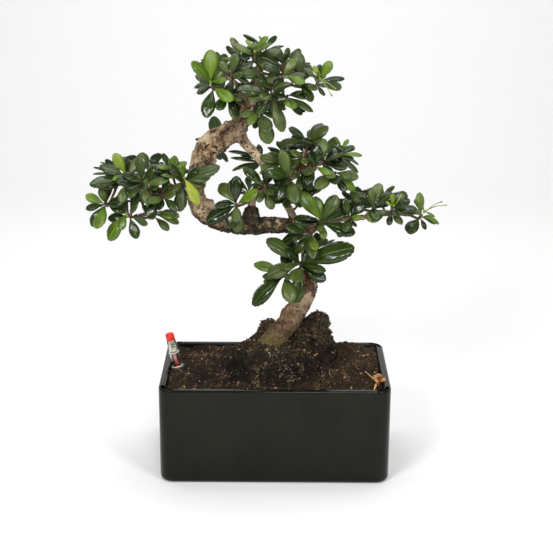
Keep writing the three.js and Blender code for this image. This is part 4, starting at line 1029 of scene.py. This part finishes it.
def place_inner(shoot):
    """Small leaves along a shoot's twig, in the shade of those that were placed for its form."""
    foot, neck = shoot["line"][2], shoot["line"][4]
    for i in range(INNER_LEAVES):
        for _ in range(INNER_TRIES):
            turn = shoot["turn"] + GOLDEN_ANGLE * i + 2.6 * chance()
            spoke = spoke_at(shoot["axis"], turn)
            root = add(mix(foot[:3], neck[:3], chance()), spoke, 1.2)
            wide_open = 0.5 + 1.3 * chance()
            way = swung(shoot["axis"], spoke, wide_open)
            reach = scale(way, 17 + 11 * chance())
            facing = nudge(add(shoot["axis"], shoot["facing"]), 0.3)
            if abs(dot(way, unit(facing))) > INNER_EDGE_ON:
                continue
            leaf = leaf_to(root, reach, facing, 0.4 + 0.6 * chance(), 0.22 + 0.05 * chance())
            guard = Guard(leaf, INNER_GUARD)
            if (guard.points < BOX_LOW).any() or (guard.points > BOX_HIGH).any():
                continue
            if is_free(guard, shoot["name"]):
                keep_leaf(shoot, leaf, guard)
                break


for shoot in shoots:
    if shoot["node"].startswith("stem_"):
        place_inner(shoot)

ROWS = (0, 0.12, 0.25, 0.38, 0.5, 0.62, 0.72, 0.81, 0.83, 0.9, 0.92, 0.97, 1)
TEETH = (1, 0.78, 0.8, 0.85, 0.9, 0.93, 0.94, 0.93, 0.83, 0.88, 0.71, 0.72, 0.52)
leaf_net = bmesh.new()
bmesh.ops.create_grid(leaf_net, x_segments=4, y_segments=len(ROWS) - 1, size=1)
bmesh.ops.reverse_faces(leaf_net, faces=leaf_net.faces)
leaf_grid = bpy.data.meshes.new("leaf_grid")
leaf_net.to_mesh(leaf_grid)
leaf_net.free()


def blade_surface(leaf, u, row, wave):
    """A point of the blade's upper side: its halves swell on both sides of a sunken midrib."""
    s = ROWS[row] - (0.03 * u * u if row == len(ROWS) - 1 else 0)
    wide = half_width(leaf, s)
    swell = 0.24 * wide * (1 - (2 * abs(u) - 1) ** 2) - 0.04 * wide * (1 - u * u)
    flutter = 0.05 * wide * u * abs(u) * math.sin(5 * s + wave)
    return blade_point(leaf, s, u * wide * TEETH[row], swell + flutter + 0.2)


def add_leaf(bm, leaf, tone, wave):
    uv_map = bm.loops.layers.uv["blade"]
    tones = bm.faces.layers.float["tone"]
    first_vert, first_face = len(bm.verts), len(bm.faces)
    bm.from_mesh(leaf_grid)
    bm.verts.ensure_lookup_table()
    bm.faces.ensure_lookup_table()
    rows = len(ROWS) - 1
    for face in bm.faces[first_face:]:
        face[tones] = tone
        face.material_index = 0
        for loop in face.loops:
            row = round((loop.vert.co.y + 1) / 2 * rows)
            loop[uv_map].uv = ((loop.vert.co.x + 1) / 2, ROWS[row])
    for vert in bm.verts[first_vert:]:
        u, row = vert.co.x, round((vert.co.y + 1) / 2 * rows)
        vert.co = Vector(np.clip(blade_surface(leaf, u, row, wave), BOX_LOW, BOX_HIGH)) * MM


def leaf_surface(name, tones, underside, gloss, vein):
    """A leaf's upper side or its paler underside, with a midrib and side veins on the blade's own map."""
    skin = Surface(name, tones[1], gloss, Specular_IOR_Level=0.42)
    where = skin.split(skin.node("UVMap", uv_map="blade").outputs["UV"])
    tone = skin.node("Attribute", attribute_name="tone").outputs["Fac"]
    color = skin.ramp(tone, *zip((0.1, 0.48, 0.66, 0.92, 0.98), tones))
    color = skin.blend(skin.step(skin.noise(110, 3), 0.35, 0.75, (0, 0.5)), color, tones[0])
    across = skin.math("ABSOLUTE", skin.math("SUBTRACT", where["X"], 0.5))
    midrib = skin.step(across, 0.042, 0.01)
    slant = skin.math("MULTIPLY_ADD", across, -0.75, where["Y"])
    ribs = skin.math("SINE", skin.math("MULTIPLY", slant, 50.0))
    midrib_tint = skin.math("MULTIPLY", midrib, 0.7)
    marks = skin.math("MULTIPLY_ADD", skin.step(ribs, 0.6, 1.0), 0.1, midrib_tint)
    skin.set("Base Color", skin.blend(marks, color, vein))
    skin.set("Roughness", skin.step(tone, 0.45, 0.6, (gloss, gloss + 0.17)))
    quilt = skin.math("MULTIPLY_ADD", ribs, 0.07, midrib)
    skin.bump(skin.math("MULTIPLY", quilt, 0.5 if underside else -0.5), 0.0009, 0.5)
    skin.bump(skin.noise(170, 2), 0.0009, 0.25)
    return skin


dark_top = leaf_surface("leaf_dark", (
    (0.009, 0.02, 0.003), (0.028, 0.053, 0.006), (0.064, 0.09, 0.018), (0.1, 0.142, 0.024),
    (0.125, 0.225, 0.012),
), False, 0.17, (0.085, 0.125, 0.026))
dark_under = leaf_surface("leaf_underside", (
    (0.045, 0.08, 0.02), (0.055, 0.095, 0.024), (0.07, 0.11, 0.03), (0.095, 0.14, 0.035), (0.1, 0.19, 0.03),
), True, 0.5, (0.09, 0.15, 0.06))
young_top = leaf_surface("leaf_young", (
    (0.055, 0.115, 0.005), (0.09, 0.16, 0.006), (0.13, 0.2, 0.008), (0.21, 0.27, 0.014), (0.36, 0.4, 0.04),
), False, 0.26, (0.24, 0.33, 0.05))
young_under = leaf_surface("leaf_young_underside", (
    (0.1, 0.17, 0.014), (0.13, 0.2, 0.016), (0.17, 0.25, 0.024), (0.25, 0.32, 0.035), (0.34, 0.41, 0.06),
), True, 0.45, (0.28, 0.38, 0.07))
twig_bark = mottled(
    "twig_bark", (0.15, 0.08, 0.04), 0.75, (160, 5, 0.7), (0.35, (0.05, 0.022, 0.012)),
    (0.55, (0.16, 0.08, 0.045)), (0.75, (0.3, 0.19, 0.11)),
)
twig_bark.bump(twig_bark.noise(420, 4, 0.7), 0.0006, 0.8)
green_stalk = mottled(
    "green_stalk", (0.22, 0.36, 0.05), 0.5, (190, 3), (0.35, (0.11, 0.18, 0.012)), (0.7, (0.32, 0.38, 0.05)),
)

OLD_LENGTH = 34
OLD_LEAF = 0.6
BLADE_THICKNESS = 0.4
BUD_RADII = (1.5, 1.2)
BUD_END = (1.6, 0.35)
SEPALS = 5
SEPAL_TURN = 1.257


def blades_net():
    bm = bmesh.new()
    bm.loops.layers.uv.new("blade")
    bm.faces.layers.float.new("tone")
    return bm


def thicken(piece, thickness, back=0):
    """Gives a sheet its thickness, and its under side and rim the surface that many places on."""
    shell = piece.modifiers.new("thickness", "SOLIDIFY")
    shell.thickness = thickness * MM
    shell.material_offset = back
    shell.material_offset_rim = back


def twig_stations(shoot):
    line = list(shoot["line"])
    if shoot["node"].startswith("stem_"):
        line[3:] = [(*point[:3], radius) for point, radius in zip(line[3:], BUD_RADII)]
    tip = add(line[-1][:3], shoot["axis"], BUD_END[0])
    return smooth_line([*line, (*tip, BUD_END[1])], 3)


def stalk_lines(foot, bend, tip):
    """A flower's stalk, swollen at its tip, and its sepals."""
    way = unit(sub(tip, bend))
    stations = [(*foot, 0.45), (*bend, 0.4), (*add(tip, way, -1.6), 0.4), (*tip, 1.0)]
    lines = [smooth_line(stations, 4)]
    for k in range(SEPALS):
        spoke = spoke_at(way, SEPAL_TURN * k, (0.3, 0.2, 1))
        lines.append([(*add(tip, way, -0.6), 0.5), (*add(add(tip, way, 0.1), spoke, 0.75), 0.3)])
    return lines


def spray(node, members):
    """All leaves and twigs of a node."""
    is_young = node.startswith("young_")
    lines = [twig_stations(shoot) for shoot in members]
    bm = blades_net()
    for shoot in members:
        for stalk in shoot["stalks"]:
            lines += stalk_lines(*stalk)
        for leaf in shoot["leaves"]:
            age = OLD_LEAF if leaf["length"] > OLD_LENGTH else 1
            add_leaf(bm, leaf, age * chance(), 6 * chance())
    skin = (young_top, young_under) if is_young else (dark_top, dark_under)
    blades = piece_from(f"{node}_leaves", bm, *skin)
    thicken(blades, BLADE_THICKNESS, 1)
    belongs(blades, "young_leaf" if is_young else "dark_leaf", node)
    wood, slot = (green_stalk, "young_leaf") if is_young else (twig_bark, "bark")
    stems_piece(f"{node}_twigs", lines, 1, [wood], slot)


for node in dict.fromkeys(shoot["node"] for shoot in shoots):
    spray(node, [shoot for shoot in shoots if shoot["node"] == node])

# Water gauge: bought parts of clear and coloured plastic on one leaning middle line. A clear tube with
# two pale rings stands in a dark sleeve, under a pressed-in red cap. A float with a red rod moves in
# it, in front of a cream scale that is bent to the tube's back.
LEAN = math.radians(12.3)
GAUGE_FRAME = Matrix.Translation(Vector((-87.2, 4, 82.2)) * MM) @ Matrix.Rotation(-LEAN, 4, "Y")
GAUGE_FOOT = -75.4
ROUND_STEPS = 40
SHARP_EDGE = math.radians(38)


def gauge_piece(name, bm, surface, slot, *nodes, body="tree"):
    """A shape made upright on its middle line, set in the gauge's place with crisp edges."""
    bmesh.ops.recalc_face_normals(bm, faces=bm.faces)
    bmesh.ops.transform(bm, matrix=GAUGE_FRAME, verts=bm.verts)
    piece = piece_from(name, bm, surface)
    piece.data.set_sharp_from_angle(angle=SHARP_EDGE)
    belongs(piece, slot, *nodes, body=body)


def turned(name, outline, surface, slot, *nodes, body="tree"):
    """A shape spun round the gauge's middle line from (radius, height) pairs."""
    bm = bmesh.new()
    points = [bm.verts.new((radius * MM, 0, height * MM)) for radius, height in outline]
    edges = [bm.edges.new(pair) for pair in zip(points, points[1:])]
    bmesh.ops.spin(bm, geom=points + edges, cent=(0, 0, 0), axis=(0, 0, 1), angle=2 * math.pi,
                   steps=ROUND_STEPS, use_merge=True, dvec=(0, 0, 0))
    bmesh.ops.remove_doubles(bm, verts=bm.verts, dist=1e-6)
    gauge_piece(name, bm, surface, slot, *nodes, body=body)


def gauge_place(skin):
    """X across the gauge and Z along its middle line, in metres."""
    inputs = {
        "Vector": skin.place, "Location": GAUGE_FRAME.to_translation(), "Rotation": GAUGE_FRAME.to_euler(),
    }
    return skin.split(skin.node("Mapping", inputs, vector_type="TEXTURE").outputs["Vector"])


dark_sleeve = Surface("dark_sleeve", (0.03, 0.028, 0.026), 0.5)
# Painted highlight: the dark sleeve is painted paler towards the top of its collar.
pale = dark_sleeve.step(gauge_place(dark_sleeve)["Z"], 0.0012, 0.0024)
color = dark_sleeve.blend(pale, (0.022, 0.018, 0.014), (0.12, 0.1, 0.08))
grime = dark_sleeve.noise(500, 4, 0.7)
color = dark_sleeve.blend(dark_sleeve.step(grime, 0.45, 0.6), color, (0.03, 0.018, 0.01))
dark_sleeve.set("Base Color", color)
dark_sleeve.bump(grime, 0.0003, 0.5)
turned("gauge_sleeve", [
    (0, GAUGE_FOOT), (5.4, GAUGE_FOOT), (5.6, GAUGE_FOOT + 0.3), (5.6, -1), (6.3, -0.5), (6.3, 1.6),
    (6.1, 2.0), (5.7, 2.2), (4.7, 2.2), (4.7, GAUGE_FOOT + 1.5), (0, GAUGE_FOOT + 1.5),
], dark_sleeve, "dark_sleeve", "gauge_shaft")

clear = Surface(
    "clear_tube", (0.96, 0.97, 0.95), 0.04, Transmission_Weight=1.0, IOR=1.17, Coat_Weight=0.8,
)
clear.bump(clear.noise(240, 2), 0.00005, 0.4)
turned("gauge_tube_clear", [
    (4.4, -12), (4.4, 16.3), (4.1, 17.2), (4.1, 27.4), (4.0, 27.6), (3.4, 27.6), (3.3, 27.4),
    (3.3, 17), (3.6, 15.8), (3.6, -12), (4.4, -12),
], clear, "clear_tube", "gauge_tube")

cream = mottled(
    "cream_plastic", (0.8, 0.77, 0.66), 0.35, (600, 3), (0.35, (0.66, 0.62, 0.5)), (0.6, (0.86, 0.84, 0.74)),
)
for name, low, reach in (("joint", 15.6, 4.75), ("foot", 2.3, 4.8)):
    turned(f"gauge_ring_{name}", [
        (4.42, low), (reach - 0.1, low), (reach, low + 0.15), (reach, low + 0.65), (reach - 0.1, low + 0.8),
        (4.42, low + 0.8), (4.42, low),
    ], cream, "white_scale")
plug_outline = [(0, 24.8), (2.9, 24.8), (3.05, 24.95), (3.05, 27.8), (0, 27.8)]
turned("gauge_cap_plug", plug_outline, cream, "red_cap")

red_cap = mottled(
    "red_cap", (0.8, 0.03, 0.012), 0.28, (320, 3), (0.3, (0.7, 0.018, 0.008)), (0.7, (0.88, 0.045, 0.02)),
    Specular_IOR_Level=0.4,
)
red_cap.bump(red_cap.noise(900, 2), 0.00005, 0.5)
turned("gauge_cap_red", [
    (0, 27.85), (3.75, 27.85), (3.9, 28.1), (3.9, 32.2), (3.75, 33.1),
    (3.3, 33.8), (2.5, 34.15), (1.2, 34.3), (0, 34.3),
], red_cap, "red_cap", "gauge_cap")

MARK_PITCH = 0.0021
printed = Surface("white_scale", (0.85, 0.82, 0.7), 0.45)
place = gauge_place(printed)
wave = printed.math("SINE", printed.math("MULTIPLY", place["Z"], 2 * math.pi / MARK_PITCH))
near_middle = printed.step(printed.math("ABSOLUTE", place["X"]), 0.0016, 0.0014)
marks = printed.math("MULTIPLY", printed.step(wave, -0.1, 0.1), near_middle)
marks = printed.math("MULTIPLY", marks, printed.step(place["Z"], 0.0178, 0.018))
color = printed.blend(marks, (0.88, 0.85, 0.7), (0.07, 0.07, 0.06))
color = printed.blend(printed.step(place["Z"], 0.0152, 0.015), color, (0.06, 0.045, 0.03))
printed.set("Base Color", color)
SCALE_PARTS = ((200, 2.75, 3.15, 15.4, 24.3), (70, 2.75, 3.15, 4.0, 15.4))
bm = bmesh.new()
for spread, inner, outer, low, high in SCALE_PARTS:
    from_side = math.radians(90 - spread / 2)
    radial = Vector((math.cos(from_side), math.sin(from_side), 0))
    corners = [bm.verts.new((radial * r + Vector((0, 0, z))) * MM)
               for r, z in ((inner, low), (outer, low), (outer, high), (inner, high))]
    profile = bm.faces.new(corners)
    bmesh.ops.spin(bm, geom=[profile, *profile.edges, *corners], cent=(0, 0, 0), axis=(0, 0, 1),
                   angle=math.radians(spread), steps=spread // 10, use_merge=False, dvec=(0, 0, 0))
gauge_piece("gauge_scale_strip", bm, printed, "white_scale", "gauge_scale")

red_rod = Surface("red_float", (0.55, 0.03, 0.025), 0.4)
# Painted reflection: the rod is painted paler and pinker from just above the sleeve up to its top.
painted_pink_reflection = red_rod.step(gauge_place(red_rod)["Z"], 0.003, 0.012)
red_rod.set("Base Color", red_rod.blend(painted_pink_reflection, (0.55, 0.012, 0.012), (0.8, 0.26, 0.18)))
turned("gauge_float_rod", [
    (0, -73.6), (2.6, -73.6), (3.4, -72.8), (3.4, -48), (3.1, -47.4), (1.2, -46.1), (1.2, 14.4),
    (0.9, 14.85), (0, 15),
], red_rod, "red_float", "gauge_float", body="float")

# Litter on the soil: a yellow straw, a dried leaf curled into lobes on its stalk, a strip of amber
# husk, crumbs of bark and peat, fibres and white grains of perlite, each where it fell. Roots run over
# the root ball, and moss grows at the trunk's foot.
dry_straw = mottled(
    "dry_straw", (0.55, 0.34, 0.12), 0.7, (420, 4, 0.7), (0.3, (0.35, 0.19, 0.06)), (0.7, (0.72, 0.5, 0.22)),
)
straw_line = [(80.6, -4.6, 83.3, 0.45), (84.4, -18, 84.3, 0.6), (87.9, -31.2, 85.0, 0.5)]
stems_piece("straw_stalk", [smooth_line(straw_line, 4)], 2, [dry_straw], "dry_straw", "straw")

brown_leaf = Surface("dry_leaf", (0.36, 0.13, 0.04), 0.6)
color = brown_leaf.ramp(
    brown_leaf.noise(240, 5, 0.65), (0.36, (0.08, 0.02, 0.006)), (0.5, (0.34, 0.1, 0.018)),
    (0.64, (0.62, 0.27, 0.06)),
)
out = brown_leaf.split(brown_leaf.node("UVMap", uv_map="blade").outputs["UV"])["Y"]
worn = brown_leaf.step(brown_leaf.noise(380, 4, 0.7), 0.42, 0.56)
worn = brown_leaf.math("MULTIPLY", brown_leaf.step(out, 0.45, 0.9), worn)
brown_leaf.set("Base Color", brown_leaf.blend(worn, color, (0.7, 0.44, 0.2)))
brown_leaf.bump(brown_leaf.noise(500, 3), 0.0004, 0.7)
LOBES = (
    ((6.2, -0.8, 3.2), 1.2, 0.34), ((-5, 0.6, 5.2), 2.3, 0.3), ((0.8, 4, 6), 1.1, 0.42),
    ((-3.4, -3.4, 1.4), 2.3, 0.4),
)
CRUMPLE_SEED = 20417
noise.seed_set(CRUMPLE_SEED)
bm = blades_net()
for reach, curl, width in LOBES:
    lobe = leaf_to((90.6, -32.8, SOIL_LEVEL + 2.6), reach, (0.1, -0.4, 0.6), curl, width)
    add_leaf(bm, lobe, 0.5, 1.0)
bmesh.ops.subdivide_edges(bm, edges=bm.edges, cuts=1, use_grid_fill=True)
for vert in bm.verts:
    vert.co += noise.noise_vector(vert.co / MM * 0.42) * 1.5 * MM
    vert.co += noise.noise_vector(vert.co / MM * 1.3) * 0.4 * MM
dry_leaf = piece_from("dry_leaf_lobes", bm, brown_leaf)
thicken(dry_leaf, 0.35)
belongs(dry_leaf, "dry_leaf", "dry_leaf")
stalk_line = [(90, -35.8, 82.5, 0.7), (90.3, -34.4, 84.1, 0.6), (90.5, -33.2, 85.3, 0.9)]
stems_piece("dry_leaf_stalk", [smooth_line(stalk_line, 3)], 1, [brown_leaf], "dry_leaf")

amber = mottled(
    "amber_husk", (0.7, 0.34, 0.06), 0.5, (260, 4, 0.7), (0.35, (0.62, 0.2, 0.02)), (0.6, (0.85, 0.5, 0.12)),
    (0.75, (0.85, 0.68, 0.4)),
)
husk_line = [
    (88.3, -34.2, 84.4, 0.5), (87.6, -38, 84.2, 1.1), (86.7, -42.5, 84, 0.9), (85.6, -47, 83.8, 0.5),
    (85, -50, 83.6, 0.3),
]
stems_piece("amber_husk_strip", [smooth_line(husk_line, 3)], 1, [amber], "dry_straw")

CRUMBS = 900
FIBRES = 1100
ROOTS = 46
GRAINS = 26
MOSS_BLADES = 900
draw = random.Random(20417)


def grit(name, low, high):
    skin = mottled(name, low, 0.9, (420, 5, 0.7), (0.38, low), (0.64, high), Specular_IOR_Level=0.3)
    skin.bump(skin.noise(900, 3, 0.7), 0.0005, 0.8)
    return skin


peat = grit("peat", (0.006, 0.004, 0.003), (0.03, 0.018, 0.011))
chaff = grit("chaff", (0.05, 0.028, 0.014), (0.2, 0.11, 0.055))
husk = grit("husk", (0.2, 0.1, 0.035), (0.55, 0.33, 0.15))
perlite = grit("perlite", (0.5, 0.48, 0.43), (0.8, 0.78, 0.72))
ground_verts = [v.co.copy() for piece in (soil, root_ball) for v in piece.data.vertices]
first = len(soil.data.vertices)
ground_faces = sorted(tuple(f.vertices) for f in soil.data.polygons)
ground_faces += [tuple(first + k for k in f.vertices) for f in root_ball.data.polygons]
ground = BVHTree.FromPolygons(ground_verts, ground_faces)


def jolt(most):
    return Vector([draw.uniform(-most, most) for _ in range(3)])


def on_mound(on_clod=False):
    """A place on the root ball, or on its right clod, and the slope there."""
    turn, steep = draw.uniform(0, 2 * math.pi), draw.uniform(0.1, 1.2)
    way = Vector((math.cos(turn) * math.cos(steep), math.sin(turn) * math.cos(steep), math.sin(steep)))
    middle = Vector((draw.uniform(-25, 35), draw.uniform(-10, 16), draw.uniform(90, 110))) * MM
    if on_clod:
        middle = Vector((draw.uniform(30, 50), draw.uniform(5, 20), draw.uniform(100, 128))) * MM
    return ground.ray_cast(middle + way * 0.15, -way)[:2]


def on_soil(lean=1.0):
    """A place on the soil; a lean under 1 draws it to the right and the front, where more litter lies."""
    x = 91 * (2 * draw.random() ** lean - 1)
    y = -51 * (2 * draw.random() ** lean - 1)
    return ground.ray_cast(Vector((x * MM, y * MM, 0.14)), Vector((0, 0, -1)))[:2]


def trail(place, steps, stride, radius, lift, heading):
    """A strand that follows the ground from a place, as (x, y, z, radius) in millimetres."""
    line = []
    for k in range(steps):
        near, slope = ground.find_nearest(place)[:2]
        thick = radius * (1 - 0.6 * k / steps)
        line.append((*(near + slope * (lift[k % len(lift)] + 0.5 * thick) * MM) / MM, thick))
        heading = (heading + 0.5 * jolt(1)).normalized()
        heading = (heading - slope * heading.dot(slope)).normalized()
        place = near + heading * stride * MM
    return line


bm = bmesh.new()
for k in range(CRUMBS + GRAINS):
    white = k >= CRUMBS
    place, slope = on_mound() if k % 3 == 0 and not white else on_soil(0.8)
    if place is None:
        continue
    size = draw.uniform(0.35, 0.7) if white else draw.uniform(0.5, 1.3) ** 1.4
    stretch = Vector((size, size * draw.uniform(0.5, 1), size * draw.uniform(0.35, 0.9)))
    turned_by = Matrix.Rotation(draw.uniform(0, 6.28), 4, jolt(1))
    matrix = Matrix.Translation(place + slope * 0.3 * size * MM) @ turned_by @ Matrix.Diagonal((*stretch, 1))
    made = bmesh.ops.create_icosphere(bm, subdivisions=1, radius=MM, matrix=matrix)["verts"]
    for vert in made:
        vert.co += jolt(0.3) * size * MM
    kind = 3 if white else draw.choices((0, 1, 2), (6, 3, 1 + (place.x > 0.02)))[0]
    for face in {f for v in made for f in v.link_faces}:
        face.material_index = kind
crumbs = belongs(piece_from("soil_crumbs", bm, peat, chaff, husk, perlite), "potting_soil")
crumbs.data.shade_flat()

fibres = []
for k in range(FIBRES):
    place, slope = on_mound(k % 10 < 2) if k % 5 < 2 else on_soil(0.8)
    if place is None:
        continue
    heading = jolt(1)
    lift = (0.0, draw.uniform(0.2, 1.0), draw.uniform(0.2, 1.4))
    kind = draw.choices((0, 1, 2), (3, 5, 1 + 4 * (place.x > 0.02)))[0]
    coarse = 1.7 if kind == 2 and k % 3 == 0 else 1
    steps, stride = draw.randint(3, 5), coarse * draw.uniform(1.2, 3)
    strand = trail(place, steps, stride, coarse * draw.uniform(0.12, 0.3), lift, heading)
    fibres.append((smooth_line(strand, 2), kind))
stems_piece("soil_fibres", fibres, 0, [peat, chaff, husk], "potting_soil")

roots = []
for k in range(ROOTS):
    turn = 2 * math.pi * k / ROOTS + draw.uniform(-0.2, 0.2)
    heading = Vector((math.cos(turn), math.sin(turn), -0.4))
    start = Vector((-4, -1, 104)) * MM + heading * draw.uniform(8, 16) * MM
    steps, stride = draw.randint(7, 13), draw.uniform(2.4, 3.6)
    strand = trail(start, steps, stride, draw.uniform(0.3, 0.75), (0, 0.1), heading)
    roots.append((smooth_line(strand, 2), draw.choice((0, 0, 1))))
stems_piece("surface_roots", roots, 1, [peat, chaff], "rooted_soil")

moss_tuft = grit("moss_tuft", (0.05, 0.046, 0.012), (0.25, 0.205, 0.06))
sites = [v for v in trunk.data.vertices if 0.094 < v.co.z < 0.119 and v.co.x < 0.012]
blades = []
for _ in range(MOSS_BLADES):
    vert = draw.choice(sites)
    if noise.noise(vert.co / MM * 0.16) < (vert.co.z - 0.108) * 60:
        continue
    way = vert.normal + jolt(0.6)
    tip = vert.co + way * draw.uniform(0.8, 1.9) * MM
    blades.append([(*vert.co / MM, 0.3), (*tip / MM, 0.12)])
stems_piece("moss_blades", blades, 0, [moss_tuft], "bark")

# Stage: a plain pale floor that curves up behind, soft light from above, from the front and both its
# sides and on the backdrop, and the camera where the photographer's stood, above the tree's crown.
FLOOR_REACH = 3.0
BACK_START = 0.9
BACK_RADIUS = 0.6
CURVE_STEPS = 12
floor_paint = Surface("floor_paint", (0.88, 0.88, 0.88), 0.8)
bm = bmesh.new()
bmesh.ops.create_grid(bm, x_segments=1, y_segments=1, size=FLOOR_REACH)
bmesh.ops.translate(bm, vec=(0, BACK_START - FLOOR_REACH, 0), verts=bm.verts)
edge = [e for e in bm.edges if all(v.co.y > BACK_START - 0.1 for v in e.verts)]
for k in range(CURVE_STEPS + 1):
    pulled = bmesh.ops.extrude_edge_only(bm, edges=edge)["geom"]
    turn = (k + 1) * math.pi / (2 * CURVE_STEPS)
    for vert in [v for v in pulled if isinstance(v, bmesh.types.BMVert)]:
        vert.co.y = BACK_START + BACK_RADIUS * math.sin(min(turn, math.pi / 2))
        vert.co.z = BACK_RADIUS * (1 - math.cos(turn)) if k < CURVE_STEPS else FLOOR_REACH
    edge = [e for e in pulled if isinstance(e, bmesh.types.BMEdge) and e.is_boundary
            and abs(e.verts[0].co.z - e.verts[1].co.z) < 1e-6]
floor = piece_from("floor", bm, floor_paint)

world = bpy.data.worlds.new("studio")
bpy.context.scene.world = world
world.use_nodes = True
sky = world.node_tree.nodes["Background"].inputs
sky["Color"].default_value = (1, 1, 1, 1)
sky["Strength"].default_value = 0.14
bpy.context.scene.view_settings.view_transform = "Standard"


def soft_light(name, place, aim, size, watts):
    lamp = bpy.data.lights.new(name, "AREA")
    lamp.shape = "RECTANGLE"
    lamp.size, lamp.size_y = size
    lamp.energy = watts
    holder = bpy.data.objects.new(name, lamp)
    holder.location = place
    holder.rotation_euler = (Vector(aim) - Vector(place)).to_track_quat("-Z", "Y").to_euler()
    bpy.context.scene.collection.objects.link(holder)


soft_light("key", (-0.65, -1.05, 1.05), (0, 0, 0.2), (0.4, 0.3), 12)
soft_light("fill", (0.8, -1.0, 0.9), (0, 0, 0.2), (0.35, 0.3), 8)
soft_light("front", (0.1, -1.3, 1.05), (0, 0, 0.2), (0.3, 0.25), 6)
soft_light("top", (0, 0.2, 1.3), (0, 0, 0.15), (1.3, 0.9), 6)
soft_light("backdrop", (0, 0.3, 1.5), (0, 1.5, 0.5), (1.6, 0.6), 12)

camera = bpy.data.objects.new("camera", bpy.data.cameras.new("camera"))
camera.data.lens = 84.74
camera.data.sensor_width = 36
camera.location = (0.0009, -1.0837, 0.522)
camera.rotation_euler = (
    Matrix.Rotation(math.radians(72.03), 4, "X") @ Matrix.Rotation(math.radians(0.334), 4, "Z")
).to_euler()
bpy.context.scene.collection.objects.link(camera)
bpy.context.scene.camera = camera
